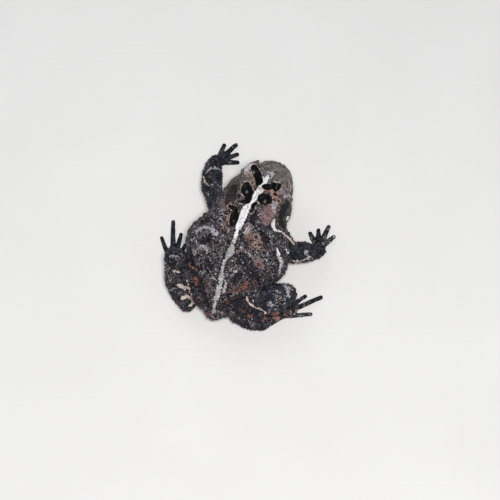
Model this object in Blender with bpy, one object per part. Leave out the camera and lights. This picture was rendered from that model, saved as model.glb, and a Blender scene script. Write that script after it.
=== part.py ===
"""A life-size american toad at rest, its left arm reaching forward.

The flesh is one field of signed distances in millimetres, blended from lofts, bones and
balls. Each named part of the animal takes the share of the field that lies nearest to its
own core, so neighbours meet face to face across a thin gap.
Body coordinates are (left, forward, up) in millimetres, and the snout points along -Y.
"""

import collections
import math

import bmesh
import bpy
import numpy as np

# Driving dimensions, in millimetres and degrees
METRES_PER_MM = 0.001
STEP = 0.5
WART_STEP = 1.0
GAP = 0.4
FAR = 9.0
FILL = 0.05
FLOOR_SNAP = 0.12
RIM = 0.5
LEAST_SLOPE = 0.25
LOW = (-46.0, -31.0, -2.0)
HIGH = (44.0, 64.0, 31.0)

# Trunk stations: forward, half width, centre height, height above it, depth below it
TRUNK = (
    (-26.0, 0.0, 8.5, 0.0, 0.0),
    (-24.3, 3.2, 8.6, 2.6, 3.4),
    (-20.0, 6.4, 8.9, 6.6, 7.4),
    (-14.0, 10.4, 9.4, 11.8, 9.6),
    (-7.0, 15.8, 10.0, 15.6, 10.6),
    (0.0, 20.8, 10.4, 17.0, 11.0),
    (7.0, 22.9, 10.8, 17.4, 11.3),
    (13.0, 20.6, 11.2, 17.0, 11.3),
    (19.0, 17.0, 12.0, 15.9, 10.9),
    (25.0, 15.2, 13.0, 13.8, 9.4),
    (30.0, 13.0, 13.6, 11.6, 7.4),
    (35.0, 8.0, 14.0, 7.0, 4.0),
    (37.0, 0.0, 14.0, 0.0, 0.0),
)
# Head stations: distance ahead of the neck, then as for the trunk
HEAD = (
    (-8.0, 0.0, 14.0, 0.0, 0.0),
    (-5.0, 10.5, 14.0, 9.0, 7.0),
    (0.0, 14.3, 14.2, 10.8, 8.3),
    (4.0, 15.2, 14.4, 9.9, 7.7),
    (8.0, 14.4, 14.6, 8.9, 7.0),
    (12.0, 12.3, 14.7, 8.0, 6.5),
    (16.0, 10.2, 14.6, 6.5, 5.8),
    (19.0, 8.7, 14.4, 5.2, 5.0),
    (21.5, 6.9, 14.1, 4.0, 4.0),
    (23.4, 4.5, 13.8, 2.9, 2.8),
    (24.6, 0.0, 13.6, 0.0, 0.0),
)
SQUARENESS = 2.35
STEEPEST_TAPER = 1.2
NECK = (-0.5, 27.0)
HEAD_TURN = math.radians(9.0)
NAPE_CUT = -2.2

# Head features as (left, ahead of the neck, up), mirrored on the right
EYE = (7.4, 12.6, 19.9)
EYE_RADIUS = 3.8
EYE_LOOK = (0.88, 0.42, 0.2)
SOCKET_RADIUS = 4.9
EYE_OPENING = (3.4, 3.1, 2.8)
OPENING_AHEAD = 3.7
LID_RADIUS = 0.75
LID_RING = (3.9, 3.3)
LID_AHEAD = 2.7
LID_TURNS = 12
CREST = ((3.7, 16.5, 21.2), (3.6, 12.2, 23.9), (4.5, 7.2, 25.2), (6.8, 5.6, 24.8), (11.4, 5.0, 21.6))
CREST_RADIUS = 0.95
NOSTRIL = (2.4, 22.0, 16.7)
NOSTRIL_RIM = (1.15, 1.15, 0.9)
NOSTRIL_PIT = (0.65, 0.65, 0.75)
EARDRUM = (13.9, 4.4, 16.6)
EARDRUM_RADIUS = 2.3
MOUTH_CORNER = 2.6
MOUTH_HEIGHT = 11.9
MOUTH_ROOM = (19.0, 16.0, 4.0)
MOUTH_GROOVE = (0.75, 0.42)
LIP = 1.1
LIP_WIDTH = 0.6
UPPER_LIP = 0.3
LOWER_LIP = 0.2

# Parotoid glands behind the eyes, in body coordinates
GLAND = (8.8, 21.6, 24.9)
GLAND_RADII = (3.2, 5.9, 2.6)
GLAND_TILT = (4.0, 26.0, -5.0)

# Glossy domes beside the line down the back, and the large gland left of it
DOME = (4.6, 1.6, 25.0)
DOME_RADII = (2.8, 2.9, 2.3)
BACK_GLAND = ((4.9, 18.6, 26.6), (4.6, 16.0, 26.8), (4.1, 13.4, 26.8))
BACK_GLAND_RADIUS = 1.7

# Large warts, from a seeded draw
WART_SEED = 11
WART_TRIES = 9000
LARGE_WART = (0.75, 1.3)
WART_ROOM = 3.3
WART_SUNK = 0.25

# Limb joints, on the right and on the left
SIDES = (("right", -1), ("left", 1))
SHOULDER = ((-13.0, 19.5, 13.4), (12.0, 20.5, 13.0))
ELBOW = ((-22.0, 14.8, 8.6), (21.6, 32.4, 8.6))
WRIST = ((-32.2, 21.2, 3.9), (25.4, 46.0, 3.9))
HIP = ((-5.6, -17.2, 10.2), (5.4, -17.4, 10.2))
THIGH = ((-16.4, -10.8, 11.0), (13.2, -11.4, 11.2))
KNEE = ((-26.6, -5.6, 11.4), (23.6, -6.2, 11.6))
CALF = ((-20.0, -13.6, 8.4), (19.8, -14.8, 8.0))
HEEL = ((-9.8, -19.0, 5.4), (12.8, -21.3, 5.4))
ANKLE = ((-20.6, -18.4, 3.0), (23.0, -13.0, 3.0))
HAND_OUTWARD = (-6.0, -30.0)
FOOT_OUTWARD = (41.0, 18.0)
PALM_LENGTH = 3.2
SOLE_LENGTH = 8.5

# Thickness of the limbs from joint to joint, as radii
UPPER_ARM_RADII = (4.8, 4.4, 3.9)
FOREARM_RADII = (3.9, 4.7, 2.9, 1.9)
PALM_RADII = (2.8, 2.6, 1.9)
THIGH_RADII = (5.6, 5.9, 4.6)
SHANK_RADII = (4.6, 4.9, 3.5)
TARSUS_RADII = (3.6, 3.4, 3.0)
SOLE_RADII = (2.7, 2.5, 2.1)

# Digits from the inner one: degrees from the middle of the hand or foot, length, radius
FINGERS = ((-42.0, 6.4, 1.2), (-15.0, 7.0, 1.15), (9.0, 9.4, 1.2), (36.0, 6.8, 1.15))
TOES = ((-46.0, 6.0, 1.0), (-27.0, 9.2, 1.05), (-11.0, 13.2, 1.1), (3.0, 18.8, 1.15), (25.0, 12.2, 1.05))
DIGIT_TAPER = (1.3, 1.1, 0.95, 0.78)
DIGIT_ROOT = 1.7
DIGIT_HEIGHTS = (1.35, 0.62)
FINGER_WEB = 0.1
TOE_WEB = 0.42
WEB_RADIUS = 0.45
WEB_STRANDS = 9

# Triangles left on each node
TRIANGLES = {
    "head": 2800,
    "torso": 4600,
    "parotoid_gland": 180,
    "upper_arm": 260,
    "forearm": 340,
    "hand": 500,
    "thigh": 640,
    "shank": 640,
    "tarsus": 180,
    "foot": 900,
}

# Base colour and roughness of each material
LOOKS = {
    "back_skin": ((0.045, 0.042, 0.048), 0.6),
    "head_skin": ((0.13, 0.105, 0.1), 0.5),
    "gland_skin": ((0.22, 0.14, 0.12), 0.5),
    "limb_skin": ((0.05, 0.055, 0.07), 0.55),
    "eye": ((0.35, 0.2, 0.05), 0.1),
}

Form = collections.namedtuple("Form", "low high distance")


def smooth_min(a, b, blend):
    """The lower of two fields, with a fillet about that wide where they meet."""
    overlap = np.maximum(blend - np.abs(a - b), 0.0) / blend
    return np.minimum(a, b) - overlap * overlap * blend / 4


def spline(knots, values, places):
    """A natural cubic spline through the values at the knots, read at the places."""
    knots, values = np.asarray(knots, float), np.asarray(values, float)
    gaps = np.diff(knots)
    slopes = np.diff(values, axis=0) / gaps[:, None]
    matrix, right = np.eye(len(knots)), np.zeros_like(values)
    for i in range(1, len(knots) - 1):
        matrix[i, i - 1 : i + 2] = gaps[i - 1], 2 * (gaps[i - 1] + gaps[i]), gaps[i]
        right[i] = 6 * (slopes[i] - slopes[i - 1])
    bend = np.linalg.solve(matrix, right)
    i = np.clip(np.searchsorted(knots, places) - 1, 0, len(knots) - 2)
    width, after = gaps[i][:, None], (places - knots[i])[:, None]
    before = width - after
    return (
        (bend[i] * before**3 + bend[i + 1] * after**3) / (6 * width)
        + (values[i] / width - bend[i] * width / 6) * before
        + (values[i + 1] / width - bend[i + 1] * width / 6) * after
    )


def in_head(points):
    """Body coordinates as head coordinates."""
    left, ahead = points[0] - NECK[0], points[1] - NECK[1]
    cosine, sine = math.cos(HEAD_TURN), math.sin(HEAD_TURN)
    return np.stack([left * cosine + ahead * sine, ahead * cosine - left * sine, points[2]])


def from_head(point):
    """Head coordinates as body coordinates."""
    left, ahead, up = point
    cosine, sine = math.cos(HEAD_TURN), math.sin(HEAD_TURN)
    return np.array([NECK[0] + left * cosine - ahead * sine, NECK[1] + left * sine + ahead * cosine, up])


def outward_of(point, side, degrees, length, up):
    """A point that far away, in a direction turned outward from straight ahead."""
    turn = math.radians(degrees)
    return np.array([point[0] + side * length * math.sin(turn), point[1] + length * math.cos(turn), up])


def loft(stations, in_frame=None):
    """A body whose cross-sections are rounded boxes that follow the stations."""
    table = np.array(stations)
    first, last = table[0, 0], table[-1, 0]
    fine = np.linspace(first, last, 300)
    squares = np.column_stack([table[:, 1] ** 2, table[:, 3] ** 2, table[:, 4] ** 2, table[:, 2]])
    sections = spline(table[:, 0], squares, fine)
    taper = np.abs(np.gradient(np.sqrt(np.maximum(sections[:, 0], 0)), fine))
    sections = np.column_stack([sections, 1 / np.hypot(1, np.minimum(taper, STEEPEST_TAPER))])

    def distance(points):
        local = in_frame(points) if in_frame else points
        along = np.clip(local[1], first, last)
        wide, above, below, centre, lean = (np.interp(along, fine, column) for column in sections.T)
        up = local[2] - centre
        tall = np.sqrt(np.maximum(np.where(up > 0, above, below), 0.01))
        ratio = (np.abs(local[0]) / np.sqrt(np.maximum(wide, 0.01))) ** SQUARENESS
        ratio = (ratio + (np.abs(up) / tall) ** SQUARENESS) ** (1 / SQUARENESS)
        out = np.hypot(local[0], up)
        near = (out - out / np.maximum(ratio, 1e-3)) * lean
        past = np.abs(local[1] - along)
        return np.where(past > 0, np.hypot(np.maximum(near, 0), past), near)

    reach = max(table[:, 1]) + 4
    middle = np.array([0, (first + last) / 2, 14])
    if in_frame:
        middle = from_head(middle)
    half = np.array([reach, (last - first) / 2 + 3, 18])
    return Form(middle - half, middle + half, distance)


def ball(centre, radii, turn=(0.0, 0.0, 0.0)):
    """An ellipsoid, turned by degrees about left, then forward, then up."""
    centre, radii = np.array(centre, float), np.array(radii, float)
    axes = np.eye(3)
    for axis, degrees in enumerate(turn):
        cosine, sine = math.cos(math.radians(degrees)), math.sin(math.radians(degrees))
        i, j = (axis + 1) % 3, (axis + 2) % 3
        spin = np.eye(3)
        spin[i, i], spin[i, j], spin[j, i], spin[j, j] = cosine, -sine, sine, cosine
        axes = spin @ axes

    def distance(points):
        local = np.tensordot(axes.T, points - centre[:, None, None, None], 1)
        scaled = local / radii[:, None, None, None]
        near = np.sqrt(np.sum(scaled**2, axis=0))
        slope = np.sqrt(np.sum((scaled / radii[:, None, None, None]) ** 2, axis=0))
        return near * (near - 1) / np.maximum(slope, 1e-6)

    return Form(centre - max(radii), centre + max(radii), distance)


def tube(points, radii, pieces=8):
    """A round, tapering limb on a smooth curve through the points."""
    points = np.array(points, float)
    knots = np.arange(len(points))
    places = np.linspace(0, len(points) - 1, pieces + 1)
    line = spline(knots, points, places) if len(points) > 2 else np.linspace(points[0], points[1], pieces + 1)
    thick = np.interp(places, knots, radii)

    def distance(samples):
        nearest = np.full(samples.shape[1:], np.inf)
        for a, b, r, s in zip(line[:-1], line[1:], thick[:-1], thick[1:]):
            run = b - a
            off = samples - a[:, None, None, None]
            share = np.clip(np.tensordot(run, off, 1) / np.dot(run, run), 0, 1)
            off = off - run[:, None, None, None] * share
            nearest = np.minimum(nearest, np.sqrt(np.sum(off * off, axis=0)) - r - share * (s - r))
        return nearest

    return Form(line.min(0) - max(thick), line.max(0) + max(thick), distance)


class Field:
    """Signed distances on a lattice in body coordinates, negative inside."""

    def __init__(self, step):
        self.step = step
        self.low = np.array(LOW)
        self.count = np.ceil((np.array(HIGH) - self.low) / step).astype(int) + 1
        self.value = np.full(self.count, FAR, np.float32)

    def window(self, form, margin):
        """Slices of the lattice round a form, and the points in them."""
        first = np.clip((form.low - margin - self.low) // self.step, 0, self.count - 2).astype(int)
        last = np.clip((form.high + margin - self.low) // self.step + 2, 2, self.count).astype(int)
        axes = [self.low[i] + self.step * np.arange(first[i], last[i]) for i in range(3)]
        slices = tuple(slice(a, b) for a, b in zip(first, last))
        return slices, np.stack(np.meshgrid(*axes, indexing="ij"))

    def add(self, form, blend):
        """Joins a form to the field, with a fillet."""
        slices, points = self.window(form, blend + 2 * self.step)
        self.value[slices] = smooth_min(self.value[slices], form.distance(points), blend)

    def carve(self, form, blend):
        """Takes a form out of the field, with a fillet."""
        slices, points = self.window(form, blend + 2 * self.step)
        self.value[slices] = -smooth_min(-self.value[slices], form.distance(points), blend)

    def reach(self, form):
        """The distance to a form over the whole lattice, capped where it is far."""
        slices, points = self.window(form, FAR)
        value = np.full(self.count, FAR, np.float32)
        value[slices] = np.minimum(form.distance(points), FAR)
        return value


def both(point):
    """The point on the left and its mirror image, each with its side."""
    return ((-1, (-point[0], *point[1:])), (1, tuple(point)))


def add_head(field):
    """Blends in the head, with its crests, mouth, nostrils and eardrums."""
    field.add(loft(HEAD, in_head), 4.0)
    for side, eye in both(EYE):
        field.add(ball(from_head(eye), (SOCKET_RADIUS,) * 3), 1.6)
        crest = [from_head((side * left, ahead, up)) for left, ahead, up in CREST]
        field.add(tube(crest, [CREST_RADIUS] * len(crest)), 1.6)
    press_mouth(field)
    for side, (left, ahead, up) in both(NOSTRIL):
        field.add(ball(from_head((left, ahead, up)), NOSTRIL_RIM), 0.9)
        field.carve(ball(from_head((left + 0.3 * side, ahead + 0.4, up + 0.5)), NOSTRIL_PIT), 0.3)
    for side, (left, ahead, up) in both(EARDRUM):
        rim, cup = EARDRUM_RADIUS, EARDRUM_RADIUS * 0.75
        field.add(ball(from_head((left, ahead, up)), (0.9, rim, rim)), 0.7)
        field.carve(ball(from_head((left + side * 1.35, ahead, up)), (1.0, cup, cup)), 0.4)


def press_mouth(field):
    """Presses the line of the mouth into the head, with a lip above and below it."""
    front = HEAD[-1][0]
    middle = from_head((0, (MOUTH_CORNER + front) / 2, MOUTH_HEIGHT))
    room = Form(middle - MOUTH_ROOM, middle + MOUTH_ROOM, None)
    slices, points = field.window(room, 0)
    local = in_head(points)
    share = np.clip((local[1] - MOUTH_CORNER) / (front - MOUTH_CORNER), 0, 1)
    above = local[2] - MOUTH_HEIGHT + np.sin(math.pi * share) - 0.7 * share**2
    ends = np.clip((local[1] - MOUTH_CORNER) / 1.5, 0, 1)
    depth, width = MOUTH_GROOVE
    groove = depth * np.exp(-((above / width) ** 2))
    upper = UPPER_LIP * np.exp(-(((above - LIP) / LIP_WIDTH) ** 2))
    lower = LOWER_LIP * np.exp(-(((above + LIP) / LIP_WIDTH) ** 2))
    field.value[slices] += (groove - upper - lower) * ends


def eye_axes(side):
    """Unit vectors in head coordinates: where the eye looks, along its lids, and up."""
    look = np.array([side * EYE_LOOK[0], *EYE_LOOK[1:]])
    look /= np.linalg.norm(look)
    along = np.cross((0, 0, 1), look)
    along /= np.linalg.norm(along)
    return look, along, np.cross(look, along)


def open_eyes(field):
    """Rims each eye with its lids and opens the socket between them."""
    wide, deep, tall = EYE_OPENING
    for side, eye in both(EYE):
        look, along, upward = eye_axes(side)
        ring = []
        for angle in np.linspace(0, 2 * math.pi, LID_TURNS + 1):
            offset = along * LID_RING[0] * math.cos(angle) + upward * LID_RING[1] * math.sin(angle)
            ring.append(from_head(eye + look * LID_AHEAD + offset))
        field.add(tube(ring, [LID_RADIUS] * len(ring), 2 * LID_TURNS), 0.7)
        bearing = math.degrees(math.atan2(look[1], look[0]) + HEAD_TURN)
        field.carve(ball(from_head(eye + look * OPENING_AHEAD), (deep, wide, tall), (0, 0, bearing)), 0.25)


def glands():
    """The two parotoid glands, right then left."""
    pitch, roll, yaw = GLAND_TILT
    return [ball(place, GLAND_RADII, (pitch, side * roll, side * yaw)) for side, place in both(GLAND)]


def add_domes(field):
    """The glossy domes on the nape and the long gland beside the line down the back."""
    for _, dome in both(DOME):
        field.add(ball(from_head(dome), DOME_RADII), 0.5)
    field.add(tube(BACK_GLAND, (BACK_GLAND_RADIUS,) * len(BACK_GLAND)), 0.8)


def digits(root, side, outward, table):
    """Centre lines and radii of a hand's or foot's digits, low at their tips."""
    lines = []
    for angle, length, radius in table:
        start = outward_of(root, side, outward + angle * 1.3, DIGIT_ROOT, root[2] * 0.9)
        middle = outward_of(start, side, outward + angle, length * 0.5, DIGIT_HEIGHTS[0])
        tip = outward_of(middle, side, outward + angle * 0.85, length * 0.5, DIGIT_HEIGHTS[1])
        lines.append((np.array([root, start, middle, tip]), radius))
    return lines


def palm_of(fingers):
    """The middle of the palm, where every finger starts."""
    line, _ = fingers[0]
    return line[0]


def add_digits(field, lines, web_share):
    """Adds tapering digits and the web that joins each to the next, up to a share of them."""
    knots = np.arange(len(DIGIT_TAPER))
    for line, radius in lines:
        field.add(tube(line, [radius * taper for taper in DIGIT_TAPER]), 0.8)
    for (first, _), (second, _) in zip(lines[:-1], lines[1:]):
        for share in np.linspace(1.0, 1.0 + 2.0 * web_share, WEB_STRANDS):
            a, b = (spline(knots, line, np.array([share]))[0] for line in (first, second))
            field.add(tube((a, b), (WEB_RADIUS,) * 2, 1), 0.4)


def arm(i):
    """Centre lines and radii of an arm's upper arm, forearm and digits."""
    side = SIDES[i][1]
    shoulder, elbow, wrist = (np.array(joint[i]) for joint in (SHOULDER, ELBOW, WRIST))
    upper = ((shoulder, shoulder * 0.45 + elbow * 0.55, elbow), UPPER_ARM_RADII)
    swell = elbow * 0.6 + wrist * 0.4 + (0, 0, 0.3)
    palm = outward_of(wrist, side, HAND_OUTWARD[i], PALM_LENGTH, 2.0)
    fore = ((elbow, swell, wrist, palm), FOREARM_RADII)
    return upper, fore, digits(palm, side, HAND_OUTWARD[i], FINGERS)


def leg(i):
    """Centre lines and radii of a leg's thigh, shank, tarsus, sole and digits."""
    side = SIDES[i][1]
    hip, middle, knee, calf, heel, ankle = (np.array(at[i]) for at in (HIP, THIGH, KNEE, CALF, HEEL, ANKLE))
    thigh = ((hip, middle, knee), THIGH_RADII)
    shank = ((knee, calf, heel), SHANK_RADII)
    tarsus = ((heel, (heel + ankle) / 2 + (0, -0.9, -0.5), ankle), TARSUS_RADII)
    sole = outward_of(ankle, side, FOOT_OUTWARD[i], SOLE_LENGTH, 1.9)
    pad = ((ankle, (ankle + sole) / 2, sole), SOLE_RADII)
    return thigh, shank, tarsus, pad, digits(sole, side, FOOT_OUTWARD[i], TOES)


def add_limbs(field):
    """Blends in the arms and legs, out to the tips of the digits."""
    for i in (0, 1):
        upper, fore, fingers = arm(i)
        field.add(tube(*upper), 2.2)
        field.add(tube(*fore), 1.6)
        field.add(ball(palm_of(fingers), PALM_RADII), 1.0)
        add_digits(field, fingers, FINGER_WEB)
        thigh, shank, tarsus, pad, toes = leg(i)
        field.add(tube(*thigh), 1.6)
        field.add(tube(*shank), 1.2)
        field.add(tube(*tarsus), 0.9)
        field.add(tube(*pad), 1.0)
        add_digits(field, toes, TOE_WEB)


def whole_toad(step):
    """The field of the whole animal, flat where it rests on the floor."""
    field = Field(step)
    field.add(loft(TRUNK), 1.0)
    add_head(field)
    for gland in glands():
        field.add(gland, 0.8)
    add_domes(field)
    add_limbs(field)
    open_eyes(field)
    heights = field.low[2] + step * np.arange(field.count[2])
    field.value = np.maximum(field.value, -heights.astype(np.float32))
    return field


def slopes(field, points):
    """Outward unit vectors of the field at points."""
    def read(places):
        cell = (places - field.low) / field.step
        first = np.clip(cell.astype(int), 0, field.count - 2)
        part = cell - first
        value = 0
        for corner in np.ndindex(2, 2, 2):
            weight = np.prod(np.where(corner, part, 1 - part), axis=1)
            value = value + weight * field.value[tuple((first + corner).T)]
        return value

    rise = np.stack([read(points + d) - read(points - d) for d in np.eye(3) * field.step], axis=1)
    return rise / np.maximum(np.linalg.norm(rise, axis=1, keepdims=True), 1e-9)


def wart_scale(points, normals):
    """How large warts grow at points of the skin, from 0 where it is smooth."""
    left, forward, up = points.T
    head = in_head(points.T)
    scale = np.where((np.abs(left) > 23.5) | (forward < -19) | (forward > 30), 0.75, 1.0)
    on_head = (head[1] > -2) & (np.abs(head[0]) < 17)
    smooth = on_head & ((head[1] > 3) | (normals[:, 2] > 0.3))
    smooth |= (normals[:, 2] < 0.1) | (up < 5.5) | (np.hypot(left - 25, forward - 52) < 9)
    smooth |= np.abs(left) < 1.9
    for _, gland in both(GLAND):
        smooth |= np.hypot(left - gland[0], (forward - gland[1]) * 0.6) < 5.6
    smooth |= np.hypot(left - BACK_GLAND[1][0], (forward - BACK_GLAND[1][1]) * 0.6) < 4.2
    return np.where(smooth, 0.0, scale)


def large_warts(field):
    """Centres and radii of the large warts, drawn over the skin with room between them."""
    points, _ = net(field.value, field)
    random = np.random.default_rng(WART_SEED)
    points = points[random.integers(len(points), size=WART_TRIES)]
    normals = slopes(field, points)
    chances = random.random(WART_TRIES) ** 2
    least, most = LARGE_WART
    sizes = wart_scale(points, normals) * (least + (most - least) * chances)
    warts = []
    for point, normal, size in zip(points, normals, sizes):
        crowded = any(
            np.linalg.norm(point - other) < WART_ROOM * (size + radius) / 2 + 1 for other, _, radius in warts
        )
        if size > 0 and not crowded:
            warts.append((point, normal, size))
    return warts


def add_warts(field, warts):
    """Sets each wart on the skin as a ball with its root sunk and fused."""
    for point, normal, size in warts:
        field.add(ball(point - normal * size * WART_SUNK, (size,) * 3), size * 0.5)


def bone(line, radii):
    """The middle stretch of a limb part, which claims the flesh round it."""
    first, last = line[0] * 0.82 + line[-1] * 0.18, line[0] * 0.18 + line[-1] * 0.82
    return tube((first, line[1], last), (radii[0], radii[1], radii[-1]), 4)


def nearest(reaches):
    """The least of several distances, everywhere."""
    return np.minimum.reduce(reaches)


def cores(field):
    """For each part, the distance over the lattice to the core that claims its flesh."""
    reach = {"body": np.minimum(field.reach(loft(TRUNK)), field.reach(loft(HEAD, in_head)))}
    for i, (name, _) in enumerate(SIDES):
        upper, fore, fingers = arm(i)
        thigh, shank, tarsus, pad, toes = leg(i)
        palm = ball(palm_of(fingers), PALM_RADII)
        reach["upper_arm_" + name] = field.reach(bone(*upper))
        reach["forearm_" + name] = field.reach(bone(fore[0][:3], fore[1][:3]))
        reach["hand_" + name] = nearest([field.reach(palm)] + [field.reach(even_digit(d)) for d in fingers])
        reach["thigh_" + name] = field.reach(bone(*thigh))
        reach["shank_" + name] = field.reach(bone(*shank))
        reach["tarsus_" + name] = field.reach(bone(*tarsus))
        sole = field.reach(bone(*pad))
        reach["foot_" + name] = nearest([sole] + [field.reach(even_digit(d)) for d in toes])
    return reach


def even_digit(digit):
    """A digit of one thickness, which claims the flesh round it."""
    line, radius = digit
    return tube(line, (radius,) * len(line))


def shares(field):
    """The field of each node: its share of the flesh, less half the gap on every cut."""
    reach = cores(field)
    node = {}
    for name, own in reach.items():
        lead = own - nearest([value for other, value in reach.items() if other != name])
        slope = np.sqrt(sum(np.square(g) for g in np.gradient(lead, field.step)))
        cut = lead / np.maximum(slope, LEAST_SLOPE) + GAP / 2
        node[name] = -smooth_min(-field.value, -cut, RIM)
    _, points = field.window(Form(np.array(LOW), np.array(HIGH), None), 0)
    past_nape = in_head(points)[1] - NAPE_CUT
    body = node.pop("body")
    node["head"] = np.maximum(body, GAP / 2 - past_nape)
    node["torso"] = np.maximum(body, GAP / 2 + past_nape)
    for (_, eye), (name, _) in zip(both(EYE), SIDES):
        socket = field.reach(ball(from_head(eye), (EYE_RADIUS,) * 3))
        node["head"] = np.maximum(node["head"], GAP - socket)
    for gland, (name, _) in zip(glands(), SIDES):
        bed = field.reach(gland)
        for bearer in ("head", "torso"):
            node[bearer] = np.maximum(node[bearer], GAP - bed)
        node["parotoid_gland_" + name] = np.maximum(field.value, bed)
    return node


def settle(value):
    """Fills in corners of the lattice where the surface would touch itself along an edge."""
    value = value.copy()
    while True:
        inside = value < 0
        filled = np.zeros_like(inside)
        for axes in ((0, 1), (1, 2), (0, 2)):
            face = {}
            for i, j in np.ndindex(2, 2):
                pick = [slice(None)] * 3
                pick[axes[0]] = slice(i, inside.shape[axes[0]] - 1 + i)
                pick[axes[1]] = slice(j, inside.shape[axes[1]] - 1 + j)
                face[i, j] = tuple(pick)
            crossed = (inside[face[0, 0]] == inside[face[1, 1]]) & (inside[face[0, 1]] == inside[face[1, 0]])
            crossed &= inside[face[0, 0]] != inside[face[0, 1]]
            for pick in face.values():
                filled[pick] |= crossed
        filled &= ~inside
        if not filled.any():
            return value
        value[filled] = -FILL


def net(value, field):
    """Points and quads of the zero surface of values, one point in each cell that it crosses."""
    value = settle(value)
    units = np.eye(3, dtype=int)
    inside = value < 0
    shape = np.array(value.shape) - 1
    full = sum(inside[x : x + shape[0], y : y + shape[1], z : z + shape[2]].astype(np.int8)
               for x, y, z in np.ndindex(2, 2, 2))
    cells = np.argwhere((full > 0) & (full < 8))
    index = np.full(shape, -1)
    index[tuple(cells.T)] = np.arange(len(cells))
    total, hits = np.zeros((len(cells), 3)), np.zeros(len(cells))
    quads = []
    for axis in range(3):
        unit, one, two = units[axis], units[axis - 2], units[axis - 1]
        for corner in ((0, 0, 0), one, two, one + two):
            start = cells + corner
            a, b = value[tuple(start.T)], value[tuple((start + unit).T)]
            cross = (a < 0) != (b < 0)
            share = np.where(cross, a / np.where(cross, a - b, 1), 0)
            total += (start + unit * share[:, None]) * cross[:, None]
            hits += cross
        start = np.argwhere(np.diff(inside, axis=axis))
        corners = [index[tuple((start - back).T)] for back in (one + two, two, (0, 0, 0), one)]
        faces = np.stack(corners, axis=1)
        leaving = inside[tuple(start.T)]
        quads.append(np.where(leaving[:, None], faces, faces[:, ::-1]))
    return field.low + field.step * total / hits[:, None], np.concatenate(quads)


def keep_largest(mesh_data):
    """Leaves only the largest connected surface of a bmesh."""
    left, islands = set(mesh_data.verts), []
    while left:
        seed = left.pop()
        island, edge_of = {seed}, [seed]
        while edge_of:
            for edge in edge_of.pop().link_edges:
                for vert in edge.verts:
                    if vert in left:
                        left.discard(vert)
                        island.add(vert)
                        edge_of.append(vert)
        islands.append(island)
    largest = max(islands, key=len)
    spare = [vert for vert in mesh_data.verts if vert not in largest]
    bmesh.ops.delete(mesh_data, geom=spare, context="VERTS")


def frame_centre(field):
    """Left and forward coordinates of the middle of the animal's box."""
    points, _ = net(field.value, field)
    return (points.min(0) + points.max(0))[:2] / 2


def material(name):
    """A Principled material of that colour and roughness."""
    if name in bpy.data.materials:
        return bpy.data.materials[name]
    colour, roughness = LOOKS[name]
    made = bpy.data.materials.new(name)
    made.use_nodes = True
    shader = made.node_tree.nodes["Principled BSDF"]
    shader.inputs["Base Color"].default_value = (*colour, 1.0)
    shader.inputs["Roughness"].default_value = roughness
    shader.inputs["Metallic"].default_value = 0.0
    return made


def to_world(points, centre):
    """Body coordinates as metres, with the box's centre at the origin."""
    return np.column_stack([points[:, 0] - centre[0], centre[1] - points[:, 1], points[:, 2]]) * METRES_PER_MM


def make_node(name, value, field, centre, collection):
    """One closed, thinned mesh object from its share of the field."""
    points, quads = net(value, field)
    mesh = bpy.data.meshes.new(name)
    mesh.from_pydata(to_world(points, centre), [], quads[:, ::-1])
    shape = bmesh.new()
    shape.from_mesh(mesh)
    keep_largest(shape)
    bmesh.ops.triangulate(shape, faces=shape.faces)
    shape.to_mesh(mesh)
    shape.free()
    node = bpy.data.objects.new(name, mesh)
    collection.objects.link(node)
    kind = name.removesuffix("_left").removesuffix("_right")
    thin = node.modifiers.new("Thin", "DECIMATE")
    thin.ratio = min(1.0, TRIANGLES[kind] / len(mesh.polygons))
    evaluated = node.evaluated_get(bpy.context.evaluated_depsgraph_get())
    thinned = bpy.data.meshes.new_from_object(evaluated)
    node.modifiers.clear()
    node.data = thinned
    bpy.data.meshes.remove(mesh)
    for vert in thinned.vertices:
        if vert.co.z < FLOOR_SNAP * METRES_PER_MM:
            vert.co.z = 0.0
    finish(node, skin_of(kind))


def skin_of(kind):
    """The material that a kind of flesh node wears."""
    return {"head": "head_skin", "torso": "back_skin", "parotoid_gland": "gland_skin"}.get(kind, "limb_skin")


def finish(node, slot):
    """Gives a node its one material and smooth shading."""
    node.data.materials.clear()
    node.data.materials.append(material(slot))
    node.data.shade_smooth()


def make_eye(name, eye, centre, collection):
    """An eyeball in its socket."""
    shape = bmesh.new()
    bmesh.ops.create_uvsphere(shape, u_segments=20, v_segments=12, radius=EYE_RADIUS * METRES_PER_MM)
    mesh = bpy.data.meshes.new(name)
    shape.to_mesh(mesh)
    shape.free()
    node = bpy.data.objects.new(name, mesh)
    node.location = to_world(from_head(eye)[None], centre)[0]
    collection.objects.link(node)
    finish(node, "eye")


def main():
    for old in list(bpy.data.objects):
        bpy.data.objects.remove(old)
    collection = bpy.data.collections.new("american_toad")
    bpy.context.scene.collection.children.link(collection)
    field = whole_toad(STEP)
    centre = frame_centre(field)
    add_warts(field, large_warts(whole_toad(WART_STEP)))
    for name, value in shares(field).items():
        make_node(name, value, field, centre, collection)
    for (_, eye), (name, _) in zip(both(EYE), SIDES):
        make_eye("eye_" + name, eye, centre, collection)


main()
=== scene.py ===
"""The american toad dressed: one skin over all its flesh, two eyes, a pale floor and studio light.

Body coordinates are (left, forward, up) in millimetres, as the solids were made in, and the
snout points along -Y. The skin is the same field of signed distances as the solids, on a finer
lattice, with small warts, folds and the coat's markings added, and with painted shade where the
skin is closed in and painted sheen on its warts.
"""

import collections
import math

import bmesh
import bpy
import numpy as np
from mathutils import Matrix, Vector, kdtree, noise


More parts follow.
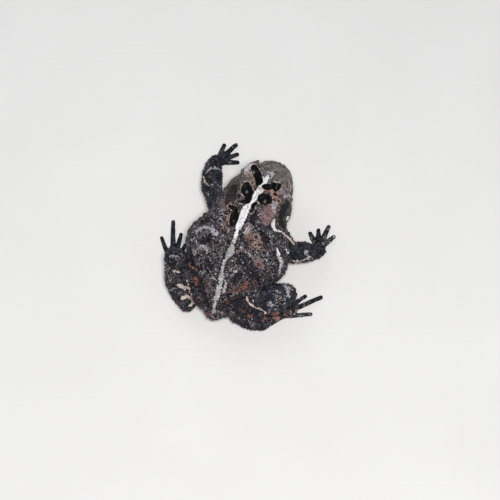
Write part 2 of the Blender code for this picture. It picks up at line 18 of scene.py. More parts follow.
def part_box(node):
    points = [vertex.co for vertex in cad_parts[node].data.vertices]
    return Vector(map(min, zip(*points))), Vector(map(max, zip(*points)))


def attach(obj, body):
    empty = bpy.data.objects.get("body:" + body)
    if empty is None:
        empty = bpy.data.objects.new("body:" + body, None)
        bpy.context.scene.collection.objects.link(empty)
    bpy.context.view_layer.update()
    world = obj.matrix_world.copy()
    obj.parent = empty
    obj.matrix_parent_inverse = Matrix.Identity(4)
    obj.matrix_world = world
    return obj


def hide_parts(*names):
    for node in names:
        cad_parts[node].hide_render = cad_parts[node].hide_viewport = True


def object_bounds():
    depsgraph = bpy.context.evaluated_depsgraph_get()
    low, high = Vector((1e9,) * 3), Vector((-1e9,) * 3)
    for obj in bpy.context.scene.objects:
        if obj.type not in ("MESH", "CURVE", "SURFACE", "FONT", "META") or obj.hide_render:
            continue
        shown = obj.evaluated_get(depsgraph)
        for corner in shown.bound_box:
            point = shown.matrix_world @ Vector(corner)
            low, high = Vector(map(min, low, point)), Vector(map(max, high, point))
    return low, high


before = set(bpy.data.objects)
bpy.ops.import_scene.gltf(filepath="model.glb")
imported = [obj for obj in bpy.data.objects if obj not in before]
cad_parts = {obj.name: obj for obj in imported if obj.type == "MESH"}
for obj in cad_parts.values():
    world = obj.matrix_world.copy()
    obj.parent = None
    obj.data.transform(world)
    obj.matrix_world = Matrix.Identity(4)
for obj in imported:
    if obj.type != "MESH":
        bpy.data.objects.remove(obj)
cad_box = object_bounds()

METRES_PER_MM = 0.001

# Lattice of the skin in millimetres, and the coarser one on which large warts are drawn
STEP = 0.25
WART_STEP = 1.0
FAR = 9.0
FILL = 0.05
LOW = (-46.0, -31.0, -2.0)
HIGH = (44.0, 64.0, 31.0)

# Trunk stations: forward, half width, centre height, height above it, depth below it
TRUNK = (
    (-26, 0, 8.5, 0, 0),
    (-24.3, 3.2, 8.6, 2.6, 3.4),
    (-20, 6.4, 8.9, 6.6, 7.4),
    (-14, 10.4, 9.4, 11.8, 9.6),
    (-7, 15.8, 10, 15.6, 10.6),
    (0, 20.8, 10.4, 17, 11),
    (7, 22.9, 10.8, 17.4, 11.3),
    (13, 20.6, 11.2, 17, 11.3),
    (19, 17, 12, 15.9, 10.9),
    (25, 15.2, 13, 13.8, 9.4),
    (30, 13, 13.6, 11.6, 7.4),
    (35, 8, 14, 7, 4),
    (37, 0, 14, 0, 0),
)
# Head stations: distance ahead of the neck, then as for the trunk
HEAD = (
    (-8, 0, 14, 0, 0),
    (-5, 10.5, 14, 9, 7),
    (0, 14.3, 14.2, 10.8, 8.3),
    (4, 15.2, 14.4, 9.9, 7.7),
    (8, 14.4, 14.6, 8.9, 7),
    (12, 12.3, 14.7, 8, 6.5),
    (16, 10.2, 14.6, 6.5, 5.8),
    (19, 8.7, 14.4, 5.2, 5),
    (21.5, 6.9, 14.1, 4, 4),
    (23.4, 4.5, 13.8, 2.9, 2.8),
    (24.6, 0, 13.6, 0, 0),
)
SQUARENESS = 2.35
STEEPEST_TAPER = 1.2
NECK = (-0.5, 27.0)
HEAD_TURN = math.radians(9.0)
COSINE, SINE = math.cos(HEAD_TURN), math.sin(HEAD_TURN)

# Head features as (left, ahead of the neck, up), mirrored on the right
EYE = (7.4, 12.6, 19.9)
EYE_RADIUS = 3.8
EYE_LOOK = (0.88, 0.42, 0.2)
SOCKET_RADIUS = 4.9
EYE_OPENING = (3.4, 3.1, 2.8)
OPENING_AHEAD = 3.7
LID_RADIUS = 0.75
LID_RING = (3.9, 3.3)
LID_AHEAD = 2.7
LID_TURNS = 12
CREST = ((3.7, 16.5, 21.2), (3.6, 12.2, 23.9), (4.5, 7.2, 25.2), (6.8, 5.6, 24.8), (11.4, 5.0, 21.6))
CREST_RADIUS = 0.95
NOSTRIL = (2.4, 22.0, 16.7)
NOSTRIL_RIM = (1.15, 1.15, 0.9)
NOSTRIL_PIT = (0.65, 0.65, 0.75)
PIT_SHIFT = (0.3, 0.4, 0.5)
EARDRUM = (13.9, 4.4, 16.6)
EARDRUM_RIM = (0.9, 2.3, 2.3)
EARDRUM_CUP = (1.0, 1.725, 1.725)
CUP_SHIFT = 1.35
MOUTH_CORNER = 2.6
MOUTH_LIFT = 0.7
MOUTH_FADE = 1.5
MOUTH_HEIGHT = 11.9
MOUTH_ROOM = (19.0, 16.0, 4.0)
MOUTH_GROOVE = (0.75, 0.42)
LIP = 1.1
LIP_WIDTH = 0.6
UPPER_LIP = 0.3
LOWER_LIP = 0.2

# Parotoid glands behind the eyes, in body coordinates
GLAND = (8.8, 21.6, 24.9)
GLAND_RADII = (3.2, 5.9, 2.6)
GLAND_TILT = (4.0, 26.0, -5.0)
GLAND_SLIMNESS = 0.6

# Glossy domes beside the line down the back, and the large gland left of it
DOME = (4.6, 1.6, 25.0)
DOME_RADII = (2.8, 2.9, 2.3)
BACK_GLAND = ((4.9, 18.6, 26.6), (4.6, 16.0, 26.8), (4.1, 13.4, 26.8))
BACK_GLAND_RADIUS = 1.7

# Large warts, from a seeded draw, and where the skin is left smooth
WART_SEED = 11
WART_TRIES = 9000
LARGE_WART = (0.75, 1.3)
WART_ROOM = 3.3
WART_SUNK = 0.25
OUTER_SCALE = 0.75
LOWEST_WART = 5.5
LINE_HALF = 1.9
LEFT_HAND = (25.0, 52.0)
HAND_REACH = 9.0
GLAND_REACH = 5.6
BACK_GLAND_REACH = 4.2

# Limb joints, on the right and on the left
SIDES = (("right", -1), ("left", 1))
SHOULDER = ((-13.0, 19.5, 13.4), (12.0, 20.5, 13.0))
ELBOW = ((-22.0, 14.8, 8.6), (21.6, 32.4, 8.6))
WRIST = ((-32.2, 21.2, 3.9), (25.4, 46.0, 3.9))
HIP = ((-5.6, -17.2, 10.2), (5.4, -17.4, 10.2))
THIGH = ((-16.4, -10.8, 11.0), (13.2, -11.4, 11.2))
KNEE = ((-26.6, -5.6, 11.4), (23.6, -6.2, 11.6))
CALF = ((-20.0, -13.6, 8.4), (19.8, -14.8, 8.0))
HEEL = ((-9.8, -19.0, 5.4), (12.8, -21.3, 5.4))
ANKLE = ((-20.6, -18.4, 3.0), (23.0, -13.0, 3.0))
HAND_OUTWARD = (-6.0, -30.0)
FOOT_OUTWARD = (41.0, 18.0)
PALM_LENGTH = 3.2
PALM_HEIGHT = 2.0
SOLE_LENGTH = 8.5
SOLE_HEIGHT = 1.9

# Thickness of the limbs from joint to joint, as radii
UPPER_ARM_RADII = (4.8, 4.4, 3.9)
FOREARM_RADII = (3.9, 4.7, 2.9, 1.9)
PALM_RADII = (2.8, 2.6, 1.9)
THIGH_RADII = (5.6, 5.9, 4.6)
SHANK_RADII = (4.6, 4.9, 3.5)
TARSUS_RADII = (3.6, 3.4, 3.0)
SOLE_RADII = (2.7, 2.5, 2.1)

# Digits from the inner one: degrees from the middle of the hand or foot, length, radius
FINGERS = ((-42.0, 6.4, 1.2), (-15.0, 7.0, 1.15), (9.0, 9.4, 1.2), (36.0, 6.8, 1.15))
TOES = ((-46.0, 6.0, 1.0), (-27.0, 9.2, 1.05), (-11.0, 13.2, 1.1), (3.0, 18.8, 1.15), (25.0, 12.2, 1.05))
DIGIT_TAPER = (1.3, 1.1, 0.95, 0.78)
DIGIT_ROOT = 1.7
ROOT_SPREAD = 1.3
ROOT_HEIGHT = 0.9
TIP_SPREAD = 0.85
DIGIT_HEIGHTS = (1.35, 0.62)
FINGER_WEB = 0.1
TOE_WEB = 0.42
WEB_RADIUS = 0.45
WEB_STRANDS = 9

# Fillets where forms meet or are cut
ARM_FILLETS = (2.2, 1.6)
LEG_FILLETS = (1.6, 1.2, 0.9, 1.0)
FILLET = {
    "trunk": 1.0, "head": 4.0, "brow": 1.6, "nostril": 0.9, "pit": 0.3, "eardrum": 0.7, "cup": 0.4,
    "lid": 0.7, "opening": 0.25, "gland": 0.8, "dome": 0.5, "palm": 1.0, "digit": 0.8, "web": 0.4,
}

# Small warts: their draw, sizes, heights and room, and what is left bare of them
SMALL_WART_SEED = 23
SMALL_WART_TRIES = 26000
SMALL_WART = (0.5, 1.05)
SMALL_WART_RISE = 0.62
SMALL_WART_SKEW = 1.6
SMALL_WART_ROOM = 1.1
WART_CELL = 2
HEAD_CHANCE = 0.05
HEAD_HALF = 17.0
BARE_GLAND = 3.4
BARE_DOME = 3.3
BARE_BACK_GLAND = 2.4

# Dark tops of the large warts and beads, how far out the painted shade of hollows looks, and the skin's
# unevenness
TOP_SHARE = 0.7
TOP_REACH = 1.15
TONE_STEP = 0.618
BEAD_TONE = 0.5
MOST_SHIFT = 0.1
CREASE_SHADE_REACH = 0.8
ROUGHNESS_WAVES = ((0.12, 2.6), (0.05, 0.9))

# Markings, and some painted shade, as layers of strokes: each stroke is (left, forward, half width) from
# point to point
STRIPE = (
    (-2.2, 40.4, 0.5), (-1.9, 38.6, 0.9), (-1.6, 36.5, 1.3), (-1.6, 32.3, 1.5), (-1.3, 28.8, 1.5),
    (-0.8, 25.8, 1.2), (-0.4, 23.2, 0.6), (0.7, 20.3, 1.6), (0.6, 16, 1.5), (0.6, 12.5, 1.5),
    (0.7, 10.4, 1.2), (0.6, 8.6, 0.6), (0.4, 6, 0.8), (0.2, 2.2, 0.7), (0, -0.4, 1.4),
    (0.6, -3.3, 0.8), (1.1, -5.8, 0.8), (0.9, -8.8, 0.7), (0.2, -12.1, 0.9), (0, -15, 1),
    (0, -17.6, 1.1), (0.3, -19.8, 0.9), (-0.2, -22.6, 0.6), (-0.6, -24.2, 0.3),
)
CREAM = (
    STRIPE,
    ((3.4, 42, 0.35), (1.6, 40.3, 0.4), (-0.4, 38.5, 0.5), (-1.2, 37.4, 0.6)),
    ((-1.4, -11.8, 0.3), (-2.4, -13.8, 0.5), (-2.2, -16.2, 0.5)),
    ((-11.9, 20.3, 0.9), (-12.3, 18.2, 1.1), (-13.6, 16.6, 0.8), (-15.8, 18, 0.5), (-17.8, 18.9, 0.5),
     (-19.8, 18.5, 0.5), (-22, 17.6, 0.6)),
    ((-20.4, 12, 0.7), (-21.4, 12.6, 0.4)),
    ((-16.2, 25, 0.8), (-16.3, 27.8, 0.6)),
    ((-15.9, 31.6, 0.3), (-15, 35, 0.2)),
    ((-17.6, 8.7, 0.6), (-19.6, 6, 0.9), (-20.9, 4.8, 0.9), (-21.2, 2.4, 0.6), (-21.4, 0.6, 0.6)),
    ((-6.2, 1.3, 0.5), (-8.1, 0.7, 0.5), (-10, 0.4, 0.4)),
    ((18.4, -17.2, 0.7), (15.4, -17.2, 0.9), (13.2, -17.6, 0.7)),
    ((15, -21.4, 0.7), (12.6, -20, 0.8), (9.8, -21.4, 0.6)),
    ((21.8, -12.6, 0.4), (19, -12.6, 0.4)),
    ((14.6, -15.6, 0.3), (12.4, -18.4, 0.4), (10.4, -21.2, 0.5), (11.2, -23.4, 0.4)),
    ((-12, -14.3, 0.4), (-13.2, -15.4, 0.4), (-15.7, -16.3, 0.4), (-18.8, -15.9, 0.4), (-21.3, -16.5, 0.4)),
    ((26, 35, 0.5), (24.4, 32.6, 0.4), (22.4, 31.2, 0.4), (20.9, 31.8, 0.4)),
    ((-24.3, 11.3, 0.5), (-27.4, 13.2, 0.5), (-30.5, 15.9, 0.4)),
)
PALE = (
    ((-2.7, 42.4, 1.3), (-2.4, 40.4, 1.7), (-1.9, 38.2, 1.5)),
    ((7.8, 42, 1.2), (7.2, 40.6, 1.6), (7.4, 38.4, 1)),
    ((-9.8, 27.8, 1.1), (-10, 25.8, 1.2), (-10.9, 23.8, 0.8)),
    ((-12.2, 33.6, 0.3), (-13.9, 34.9, 0.3)),
    ((25.6, 37.7, 0.3), (24.5, 39.9, 0.4), (22.5, 41.1, 0.4), (20.8, 41.7, 0.3)),
    ((-28.4, 16.6, 0.5), (-29.8, 14.9, 0.5)),
    ((-24.6, -1.9, 0.5), (-27, -4.1, 0.5), (-28.6, -7.4, 0.6)),
    ((-22.6, -13.2, 0.9), (-22, -13, 0.7)),
    ((-3.4, 11.4, 0.8), (-3.3, 10.4, 0.9)),
    ((8.8, 4.6, 0.6), (11.6, 6.6, 0.7), (14.6, 6.8, 0.7), (17.2, 4.8, 0.6)),
    ((9.4, -3.4, 0.6), (12.8, -1.8, 0.6), (15.4, -4.2, 0.5)),
)
PINK = (
    ((-10.2, 24.6, 1.2), (-9.6, 21.6, 2.2), (-8.9, 18.9, 2.2), (-8.8, 16.8, 1.2)),
    ((-11.3, -0.2, 1.2), (-13.2, -0.8, 1.8), (-14.6, -1.1, 1.2)),
)
TAN = (
    ((-3.6, 12.4, 1.6), (-5.4, 9.6, 2.6), (-8.2, 7, 2.8), (-10, 4.4, 2)),
    ((-10.4, 0.4, 1.6), (-13.2, -0.8, 2.2)),
    ((7.8, 9.4, 1.2), (5.8, 8.8, 1.5), (4.4, 7.6, 1.2)),
)
ORANGE = (
    ((5.8, 38.6, 0.4), (5, 37, 0.7), (4.6, 35, 0.7)),
    ((3.7, 34.9, 0.5), (2.5, 33.3, 0.7), (1.4, 31.6, 0.5)),
    ((-4, 32.5, 0.5), (-5.8, 32.4, 0.8), (-7.6, 32, 1.1), (-9, 31.1, 1), (-10.2, 30.2, 0.8)),
    ((-9.6, 30.2, 0.6), (-10.6, 29.1, 0.5), (-11.4, 28, 0.3)),
    ((-7.8, 33.6, 0.4), (-9.4, 33.4, 0.4)),
    ((-1.9, 0.4, 0.4), (-4.4, 1.3, 0.4), (-6.2, 1.3, 0.4)),
    ((8.6, 18.8, 0.3), (8, 20.4, 0.3)),
    ((7.5, 16.2, 0.2), (7.1, 14, 0.3), (6.2, 12, 0.3)),
    ((-9.2, 6.2, 0.3), (-8.8, 3.2, 0.3)),
    ((-10.8, 6, 0.2), (-12.8, 5, 0.3)),
    ((-8.4, -13.4, 0.9), (-9.2, -12, 1.2), (-10.4, -9.6, 0.9)),
    ((-4.4, -19.5, 0.3), (-6.1, -17.7, 0.3), (-7.6, -15.5, 0.3)),
    ((-3, -23.6, 0.5), (-2.2, -24.2, 0.4)),
    ((1.9, -24.6, 0.5), (1.2, -24.4, 0.4)),
    ((13.6, -9.6, 0.9), (12.9, -10.8, 0.7)),
    ((10.2, -15, 1.2), (11.6, -13.8, 0.9)),
    ((16.2, -8.2, 0.4), (15.6, -8.8, 0.4)),
    ((-15.6, -19.7, 1.1), (-15, -19.6, 0.8)),
    ((-22, -17.9, 0.8), (-21.2, -18.4, 0.6)),
    ((-26, -14.4, 1.4), (-25, -15.2, 0.9)),
    ((-28, -11.2, 0.6), (-30.6, -11.2, 0.5)),
    ((-33.3, -6.4, 0.6), (-32.2, -8, 0.6)),
)
BLACK = (
    ((4.6, 40.9, 1.5), (3, 39.2, 1.8), (1.4, 37.4, 2), (0.5, 35.7, 1.7), (0.6, 34, 0.9)),
    ((-3, 34.1, 1.5), (-4, 34.4, 1.9), (-5, 34.6, 2), (-6.2, 35, 1.9), (-7.4, 35.6, 1.7),
     (-8.3, 36.4, 1.3)),
    ((4.6, 30.8, 2.2), (3.4, 28.8, 2.5), (2.7, 27.6, 2.2)),
    ((1.9, 27.2, 1.6), (1.5, 24.9, 1.5), (2, 23.4, 1.4), (3.6, 22.7, 0.9)),
    ((-5.5, 27.9, 3), (-5, 27.7, 3.1)),
    ((-2.4, 24.2, 0.7), (-1.7, 22.6, 0.8), (-2.1, 20.8, 0.7), (-1.9, 19, 0.4)),
    ((6.2, 25.6, 0.6), (6, 25.3, 0.6)),
    ((7.6, 18.9, 0.8), (6, 18.6, 1.1), (4.6, 17.6, 1.3)),
    ((4.2, 15.6, 1.8), (3.9, 13.6, 1.9), (3.7, 11.4, 1.4)),
    ((-8.6, 31.7, 0.8), (-8.3, 31.5, 0.7)),
    ((-10.8, 30, 0.4), (-10.6, 29.9, 0.4)),
    ((0.5, 31, 0.5), (0.4, 30.8, 0.5)),
    ((-6, 19.2, 0.4), (-5.9, 19, 0.4)),
)
PLUM = (
    ((7.6, 18.6, 1.4), (6, 18.2, 2.2), (5, 16.6, 2.8), (4.6, 14.4, 2.8), (4.2, 12.2, 2.4),
     (4.2, 10.4, 1.4)),
    ((-4, -2.2, 1.6), (-7.6, -2.6, 2.4), (-10.1, -4.6, 2)),
)
# Dark blotches, and the painted shade below
DARK_AND_SHADE = (
    ((-4, -2.2, 1.9), (-7.6, -2.6, 3), (-10.1, -4.6, 2.7), (-13, -6, 1.7)),
    ((-8.9, 11.7, 1.4), (-12, 9.7, 1.9)),
    ((-14, 31.7, 1.8), (-13.8, 27.6, 1.9), (-14, 23.4, 1.7), (-15.5, 21.8, 1.6)),
    ((10.8, 1.8, 1.6), (13.4, 0.6, 1.8)),
    ((6.4, -8.6, 1.6), (8.8, -6.8, 1.4)),
    ((-5.4, -11, 1.5), (-6.6, -8.4, 1.3)),
    ((14.8, 10.6, 1.5), (16.4, 8.8, 1.4)),
    ((9.8, 28.8, 2.2), (9, 25, 2.7), (8.8, 21, 2.4)),
    ((-3.6, 15.8, 1.4), (-4.2, 18.6, 1.2)),
    # Painted shade where the thighs meet the trunk
    ((18.1, -2.3, 1.2), (14.6, -8.6, 1.5), (10.4, -13.6, 1.8), (5.9, -18.8, 1.6), (2.2, -22.6, 1)),
    ((-9.6, -14.6, 1.4), (-6, -18.4, 1.6), (-3, -21.5, 1.2)),
)
LAYERS = dict(cream=CREAM, pale=PALE, pink=PINK, tan=TAN, orange=ORANGE, black=BLACK, plum=PLUM, dark=DARK_AND_SHADE)
STEEPNESS = {"black": 0.4}
STROKE_PIECES = 6
STROKE_REACH = 3.0

# Dark beads beside the line down the back: left, forward, radius
BEADS = (
    (3.1, 5, 1.2), (3.7, -1.3, 1.2), (5.6, -5.5, 1.4), (10, -6.2, 1.3), (8.8, -2.2, 1.1),
    (13.1, 1.3, 1.1), (7.6, 4.7, 1.1), (6.3, -13, 1.2), (4.1, -14.3, 1), (6, -17.3, 1),
    (-5.5, -2.8, 1.4), (-7.9, -4.9, 1.3), (-11.1, -6.9, 1.4), (-3.9, -1.4, 1.1), (-12.4, 0.6, 0.9),
    (-14.6, -3, 1), (-5.1, -10.9, 1.1), (-12, -11, 1.1), (-9, -1.9, 1.1), (9.6, 8.4, 1.2),
    (12.4, 6.4, 1.2), (-15.2, 12.6, 1.2), (-11.4, 13.2, 1.1), (15.8, -2.4, 1.1), (3.4, -9.6, 1.1),
    (11, 12.2, 1.2),
)

# Linear colours
DEEP = (0.0042, 0.0042, 0.0058)
SLATE = (0.021, 0.02, 0.027)
BEAD = (0.0075, 0.0068, 0.0095)
# Painted sheen on the crowns of the beads and warts
BEAD_SHEEN = (0.1, 0.09, 0.115)
RUST = (0.15, 0.036, 0.03)
UMBER = (0.045, 0.03, 0.028)
ASH = (0.41, 0.39, 0.41)
BONE = (0.3, 0.28, 0.27)
CLAY = (0.26, 0.2, 0.185)
HEAD_DARK = (0.028, 0.024, 0.024)
HEAD_BROWN = (0.1, 0.08, 0.079)
HEAD_PALE = (0.21, 0.178, 0.178)
NAPE_BROWN = (0.045, 0.037, 0.035)
ROSE = (0.12, 0.052, 0.052)
LIMB_BLUE = (0.005, 0.0062, 0.0092)
LIMB_GREY = (0.024, 0.026, 0.034)
LIMB_CREAM = (0.68, 0.59, 0.54)
LIMB_TAN = (0.46, 0.36, 0.31)
IVORY = (0.82, 0.8, 0.81)
PLUM_BROWN = (0.017, 0.0115, 0.0145)
ORANGE_TAN = (0.2, 0.072, 0.037)
PEACH = (0.42, 0.235, 0.165)
PINK_TAN = (0.22, 0.14, 0.137)
INK = (0.0025, 0.0025, 0.003)
BELLY_CREAM = (0.4, 0.33, 0.25)
AMBER = (0.34, 0.12, 0.02)
GOLD = (0.75, 0.48, 0.13)
PUPIL_RIM = (0.8, 0.55, 0.2)
NET_BROWN = (0.02, 0.012, 0.008)
EYE_BROWN = (0.01, 0.008, 0.006)
PUPIL_BLACK = (0.002, 0.002, 0.002)
FLOOR_GREYS = ((0.6, 0.59, 0.575), (0.66, 0.65, 0.635))
SKY = (0.86, 0.9, 1.0, 1.0)

# Patterns over the skin: waves in a millimetre, detail, distortion, offset
PATTERNS = {
    "broad": (0.13, 3, 0.6, 0),
    "middle": (0.36, 3, 0.9, 31),
    "torn": (0.62, 4, 0.8, 57),
    "fine": (0.95, 4, 1.0, 7),
    "grain": (2.6, 4, 0.5, 13),
}
BUMP_STRENGTH = 0.8
BUMP_METRES = 0.0002
INK_ROUGHNESS = 0.3
PUPIL_HALF = (1.55, 0.95)
EYE_ROWS = 40

# Floor, sky and lamps (name, place, size, power), in metres
FLOOR_HALF = 1.5
SKY_STRENGTH = 0.27
LAMPS = (("key_light", (-0.15, 0.3, 0.9), 0.25, 10.0), ("fill_light", (0.6, -0.5, 0.6), 0.6, 1.6))

# Camera: the body's point in the middle of the view, azimuth and elevation in degrees, metres away and across
CAMERA_TARGET = (-3.5, 13.5, 0.0)
CAMERA_ANGLES = (200, 67)
CAMERA_DISTANCE = 1.0
FRAME_WIDTH = 0.22

Form = collections.namedtuple("Form", "low high distance")


def smooth_min(a, b, blend):
    """The lower of two fields, with a fillet about that wide where they meet."""
    overlap = np.maximum(blend - np.abs(a - b), 0.0) / blend
    return np.minimum(a, b) - overlap * overlap * blend / 4


def spline(knots, values, places):
    """A natural cubic spline through the values at the knots, read at the places."""
    knots, values = np.asarray(knots, float), np.asarray(values, float)
    gaps = np.diff(knots)
    slopes = np.diff(values, axis=0) / gaps[:, None]
    matrix, right = np.eye(len(knots)), np.zeros_like(values)
    for i in range(1, len(knots) - 1):
        matrix[i, i - 1 : i + 2] = gaps[i - 1], 2 * (gaps[i - 1] + gaps[i]), gaps[i]
        right[i] = 6 * (slopes[i] - slopes[i - 1])
    bend = np.linalg.solve(matrix, right)
    i = np.clip(np.searchsorted(knots, places) - 1, 0, len(knots) - 2)
    width, after = gaps[i][:, None], (places - knots[i])[:, None]
    before = width - after
    return (
        (bend[i] * before**3 + bend[i + 1] * after**3) / (6 * width)
        + (values[i] / width - bend[i] * width / 6) * before
        + (values[i + 1] / width - bend[i + 1] * width / 6) * after
    )


def in_head(points):
    """Body coordinates as head coordinates."""
    left, ahead = points[0] - NECK[0], points[1] - NECK[1]
    return np.stack([left * COSINE + ahead * SINE, ahead * COSINE - left * SINE, points[2]])


def from_head(point):
    """Head coordinates as body coordinates."""
    left, ahead, up = point
    return np.array([NECK[0] + left * COSINE - ahead * SINE, NECK[1] + left * SINE + ahead * COSINE, up])


def outward_of(point, side, degrees, length, up):
    """A point that far away, in a direction turned outward from straight ahead."""
    turn = math.radians(degrees)
    return np.array([point[0] + side * length * math.sin(turn), point[1] + length * math.cos(turn), up])


def loft(stations, in_frame=None):
    """A body whose cross-sections are rounded boxes that follow the stations."""
    table = np.array(stations)
    first, last = table[0, 0], table[-1, 0]
    fine = np.linspace(first, last, 300)
    squares = np.column_stack([table[:, 1] ** 2, table[:, 3] ** 2, table[:, 4] ** 2, table[:, 2]])
    sections = spline(table[:, 0], squares, fine)
    taper = np.abs(np.gradient(np.sqrt(np.maximum(sections[:, 0], 0)), fine))
    sections = np.column_stack([sections, 1 / np.hypot(1, np.minimum(taper, STEEPEST_TAPER))])

    def distance(points):
        local = in_frame(points) if in_frame else points
        along = np.clip(local[1], first, last)
        wide, above, below, centre, lean = (np.interp(along, fine, column) for column in sections.T)
        up = local[2] - centre
        tall = np.sqrt(np.maximum(np.where(up > 0, above, below), 0.01))
        ratio = (np.abs(local[0]) / np.sqrt(np.maximum(wide, 0.01))) ** SQUARENESS
        ratio = (ratio + (np.abs(up) / tall) ** SQUARENESS) ** (1 / SQUARENESS)
        out = np.hypot(local[0], up)
        near = (out - out / np.maximum(ratio, 1e-3)) * lean
        past = np.abs(local[1] - along)
        return np.where(past > 0, np.hypot(np.maximum(near, 0), past), near)

    reach = max(table[:, 1]) + 4
    middle = np.array([0, (first + last) / 2, 14])
    if in_frame:
        middle = from_head(middle)
    half = np.array([reach, (last - first) / 2 + 3, 18])
    return Form(middle - half, middle + half, distance)


def ball(centre, radii, turn=(0.0, 0.0, 0.0)):
    """An ellipsoid, turned by degrees about left, then forward, then up."""
    centre, radii = np.array(centre, float), np.array(radii, float)
    axes = np.eye(3)
    for axis, degrees in enumerate(turn):
        cosine, sine = math.cos(math.radians(degrees)), math.sin(math.radians(degrees))
        i, j = (axis + 1) % 3, (axis + 2) % 3
        spin = np.eye(3)
        spin[i, i], spin[i, j], spin[j, i], spin[j, j] = cosine, -sine, sine, cosine
        axes = spin @ axes

    def distance(points):
        local = np.tensordot(axes.T, points - centre[:, None, None, None], 1)
        scaled = local / radii[:, None, None, None]
        near = np.sqrt(np.sum(scaled**2, axis=0))
        slope = np.sqrt(np.sum((scaled / radii[:, None, None, None]) ** 2, axis=0))
        return near * (near - 1) / np.maximum(slope, 1e-6)

    return Form(centre - max(radii), centre + max(radii), distance)


def tube(points, radii, pieces=8):
    """A round, tapering limb on a smooth curve through the points."""
    points = np.array(points, float)
    knots = np.arange(len(points))
    places = np.linspace(0, len(points) - 1, pieces + 1)
    line = spline(knots, points, places) if len(points) > 2 else np.linspace(points[0], points[1], pieces + 1)
    thick = np.interp(places, knots, radii)

    def distance(samples):
        nearest = np.full(samples.shape[1:], np.inf)
        for a, b, r, s in zip(line[:-1], line[1:], thick[:-1], thick[1:]):
            run = b - a
            off = samples - a[:, None, None, None]
            share = np.clip(np.tensordot(run, off, 1) / np.dot(run, run), 0, 1)
            off = off - run[:, None, None, None] * share
            nearest = np.minimum(nearest, np.sqrt(np.sum(off * off, axis=0)) - r - share * (s - r))
        return nearest

    return Form(line.min(0) - max(thick), line.max(0) + max(thick), distance)


class Field:
    """Signed distances on a lattice in body coordinates, negative inside."""

    def __init__(self, step):
        self.step = step
        self.low = np.array(LOW)
        self.count = np.ceil((np.array(HIGH) - self.low) / step).astype(int) + 1
        self.value = np.full(self.count, FAR, np.float32)

    def window(self, form, margin):
        """Slices of the lattice round a form, and the points in them."""
        first = np.clip((form.low - margin - self.low) // self.step, 0, self.count - 2).astype(int)
        last = np.clip((form.high + margin - self.low) // self.step + 2, 2, self.count).astype(int)
        axes = [self.low[i] + self.step * np.arange(first[i], last[i]) for i in range(3)]
        slices = tuple(slice(a, b) for a, b in zip(first, last))
        return slices, np.stack(np.meshgrid(*axes, indexing="ij"))

    def add(self, form, blend, sign=1):
        """Joins a form to the field, with a fillet."""
        slices, points = self.window(form, blend + 2 * self.step)
        self.value[slices] = sign * smooth_min(sign * self.value[slices], form.distance(points), blend)

    def carve(self, form, blend):
        """Takes a form out of the field, with a fillet."""
        self.add(form, blend, -1)

    def read(self, places):
        """The field at places, between the lattice's points."""
        cell = (places - self.low) / self.step
        first = np.clip(cell.astype(int), 0, self.count - 2)
        part = cell - first
        value = 0
        for corner in np.ndindex(2, 2, 2):
            weight = np.prod(np.where(corner, part, 1 - part), axis=1)
            value = value + weight * self.value[tuple((first + corner).T)]
        return value


def both(point):
    """The point on the left and its mirror image, each with its side."""
    return ((-1, (-point[0], *point[1:])), (1, tuple(point)))


def add_head(field):
    """Blends in the head, with its crests, mouth, nostrils and eardrums."""
    field.add(loft(HEAD, in_head), FILLET["head"])
    for side, eye in both(EYE):
        field.add(ball(from_head(eye), (SOCKET_RADIUS,) * 3), FILLET["brow"])
        crest = [from_head((side * left, ahead, up)) for left, ahead, up in CREST]
        field.add(tube(crest, [CREST_RADIUS] * len(crest)), FILLET["brow"])
    press_mouth(field)
    for side, (left, ahead, up) in both(NOSTRIL):
        field.add(ball(from_head((left, ahead, up)), NOSTRIL_RIM), FILLET["nostril"])
        pit = from_head(np.array((left, ahead, up)) + np.array(PIT_SHIFT) * (side, 1, 1))
        field.carve(ball(pit, NOSTRIL_PIT), FILLET["pit"])
    for side, (left, ahead, up) in both(EARDRUM):
        field.add(ball(from_head((left, ahead, up)), EARDRUM_RIM), FILLET["eardrum"])
        field.carve(ball(from_head((left + side * CUP_SHIFT, ahead, up)), EARDRUM_CUP), FILLET["cup"])


def press_mouth(field):
    """Presses the line of the mouth into the head, with a lip above and below it."""
    front = HEAD[-1][0]
    middle = from_head((0, (MOUTH_CORNER + front) / 2, MOUTH_HEIGHT))
    slices, points = field.window(Form(middle - MOUTH_ROOM, middle + MOUTH_ROOM, None), 0)
    local = in_head(points)
    share = np.clip((local[1] - MOUTH_CORNER) / (front - MOUTH_CORNER), 0, 1)
    above = local[2] - MOUTH_HEIGHT + np.sin(math.pi * share) - MOUTH_LIFT * share**2
    ends = np.clip((local[1] - MOUTH_CORNER) / MOUTH_FADE, 0, 1)
    depth, width = MOUTH_GROOVE
    groove = depth * np.exp(-((above / width) ** 2))
    upper = UPPER_LIP * np.exp(-(((above - LIP) / LIP_WIDTH) ** 2))
    lower = LOWER_LIP * np.exp(-(((above + LIP) / LIP_WIDTH) ** 2))
    field.value[slices] += (groove - upper - lower) * ends


def eye_axes(side):
    """Unit vectors in head coordinates: where the eye looks, along its lids, and up."""
    look = np.array([side * EYE_LOOK[0], *EYE_LOOK[1:]])
    look /= np.linalg.norm(look)
    along = np.cross((0, 0, 1), look)
    along /= np.linalg.norm(along)
    return look, along, np.cross(look, along)


def open_eyes(field):
    """Rims each eye with its lids and opens the socket between them."""
    wide, deep, tall = EYE_OPENING
    for side, eye in both(EYE):
        look, along, upward = eye_axes(side)
        ring = []
        for angle in np.linspace(0, 2 * math.pi, LID_TURNS + 1):
            offset = along * LID_RING[0] * math.cos(angle) + upward * LID_RING[1] * math.sin(angle)
            ring.append(from_head(eye + look * LID_AHEAD + offset))
        field.add(tube(ring, [LID_RADIUS] * len(ring), 2 * LID_TURNS), FILLET["lid"])
        bearing = math.degrees(math.atan2(look[1], look[0]) + HEAD_TURN)
        opening = ball(from_head(eye + look * OPENING_AHEAD), (deep, wide, tall), (0, 0, bearing))
        field.carve(opening, FILLET["opening"])


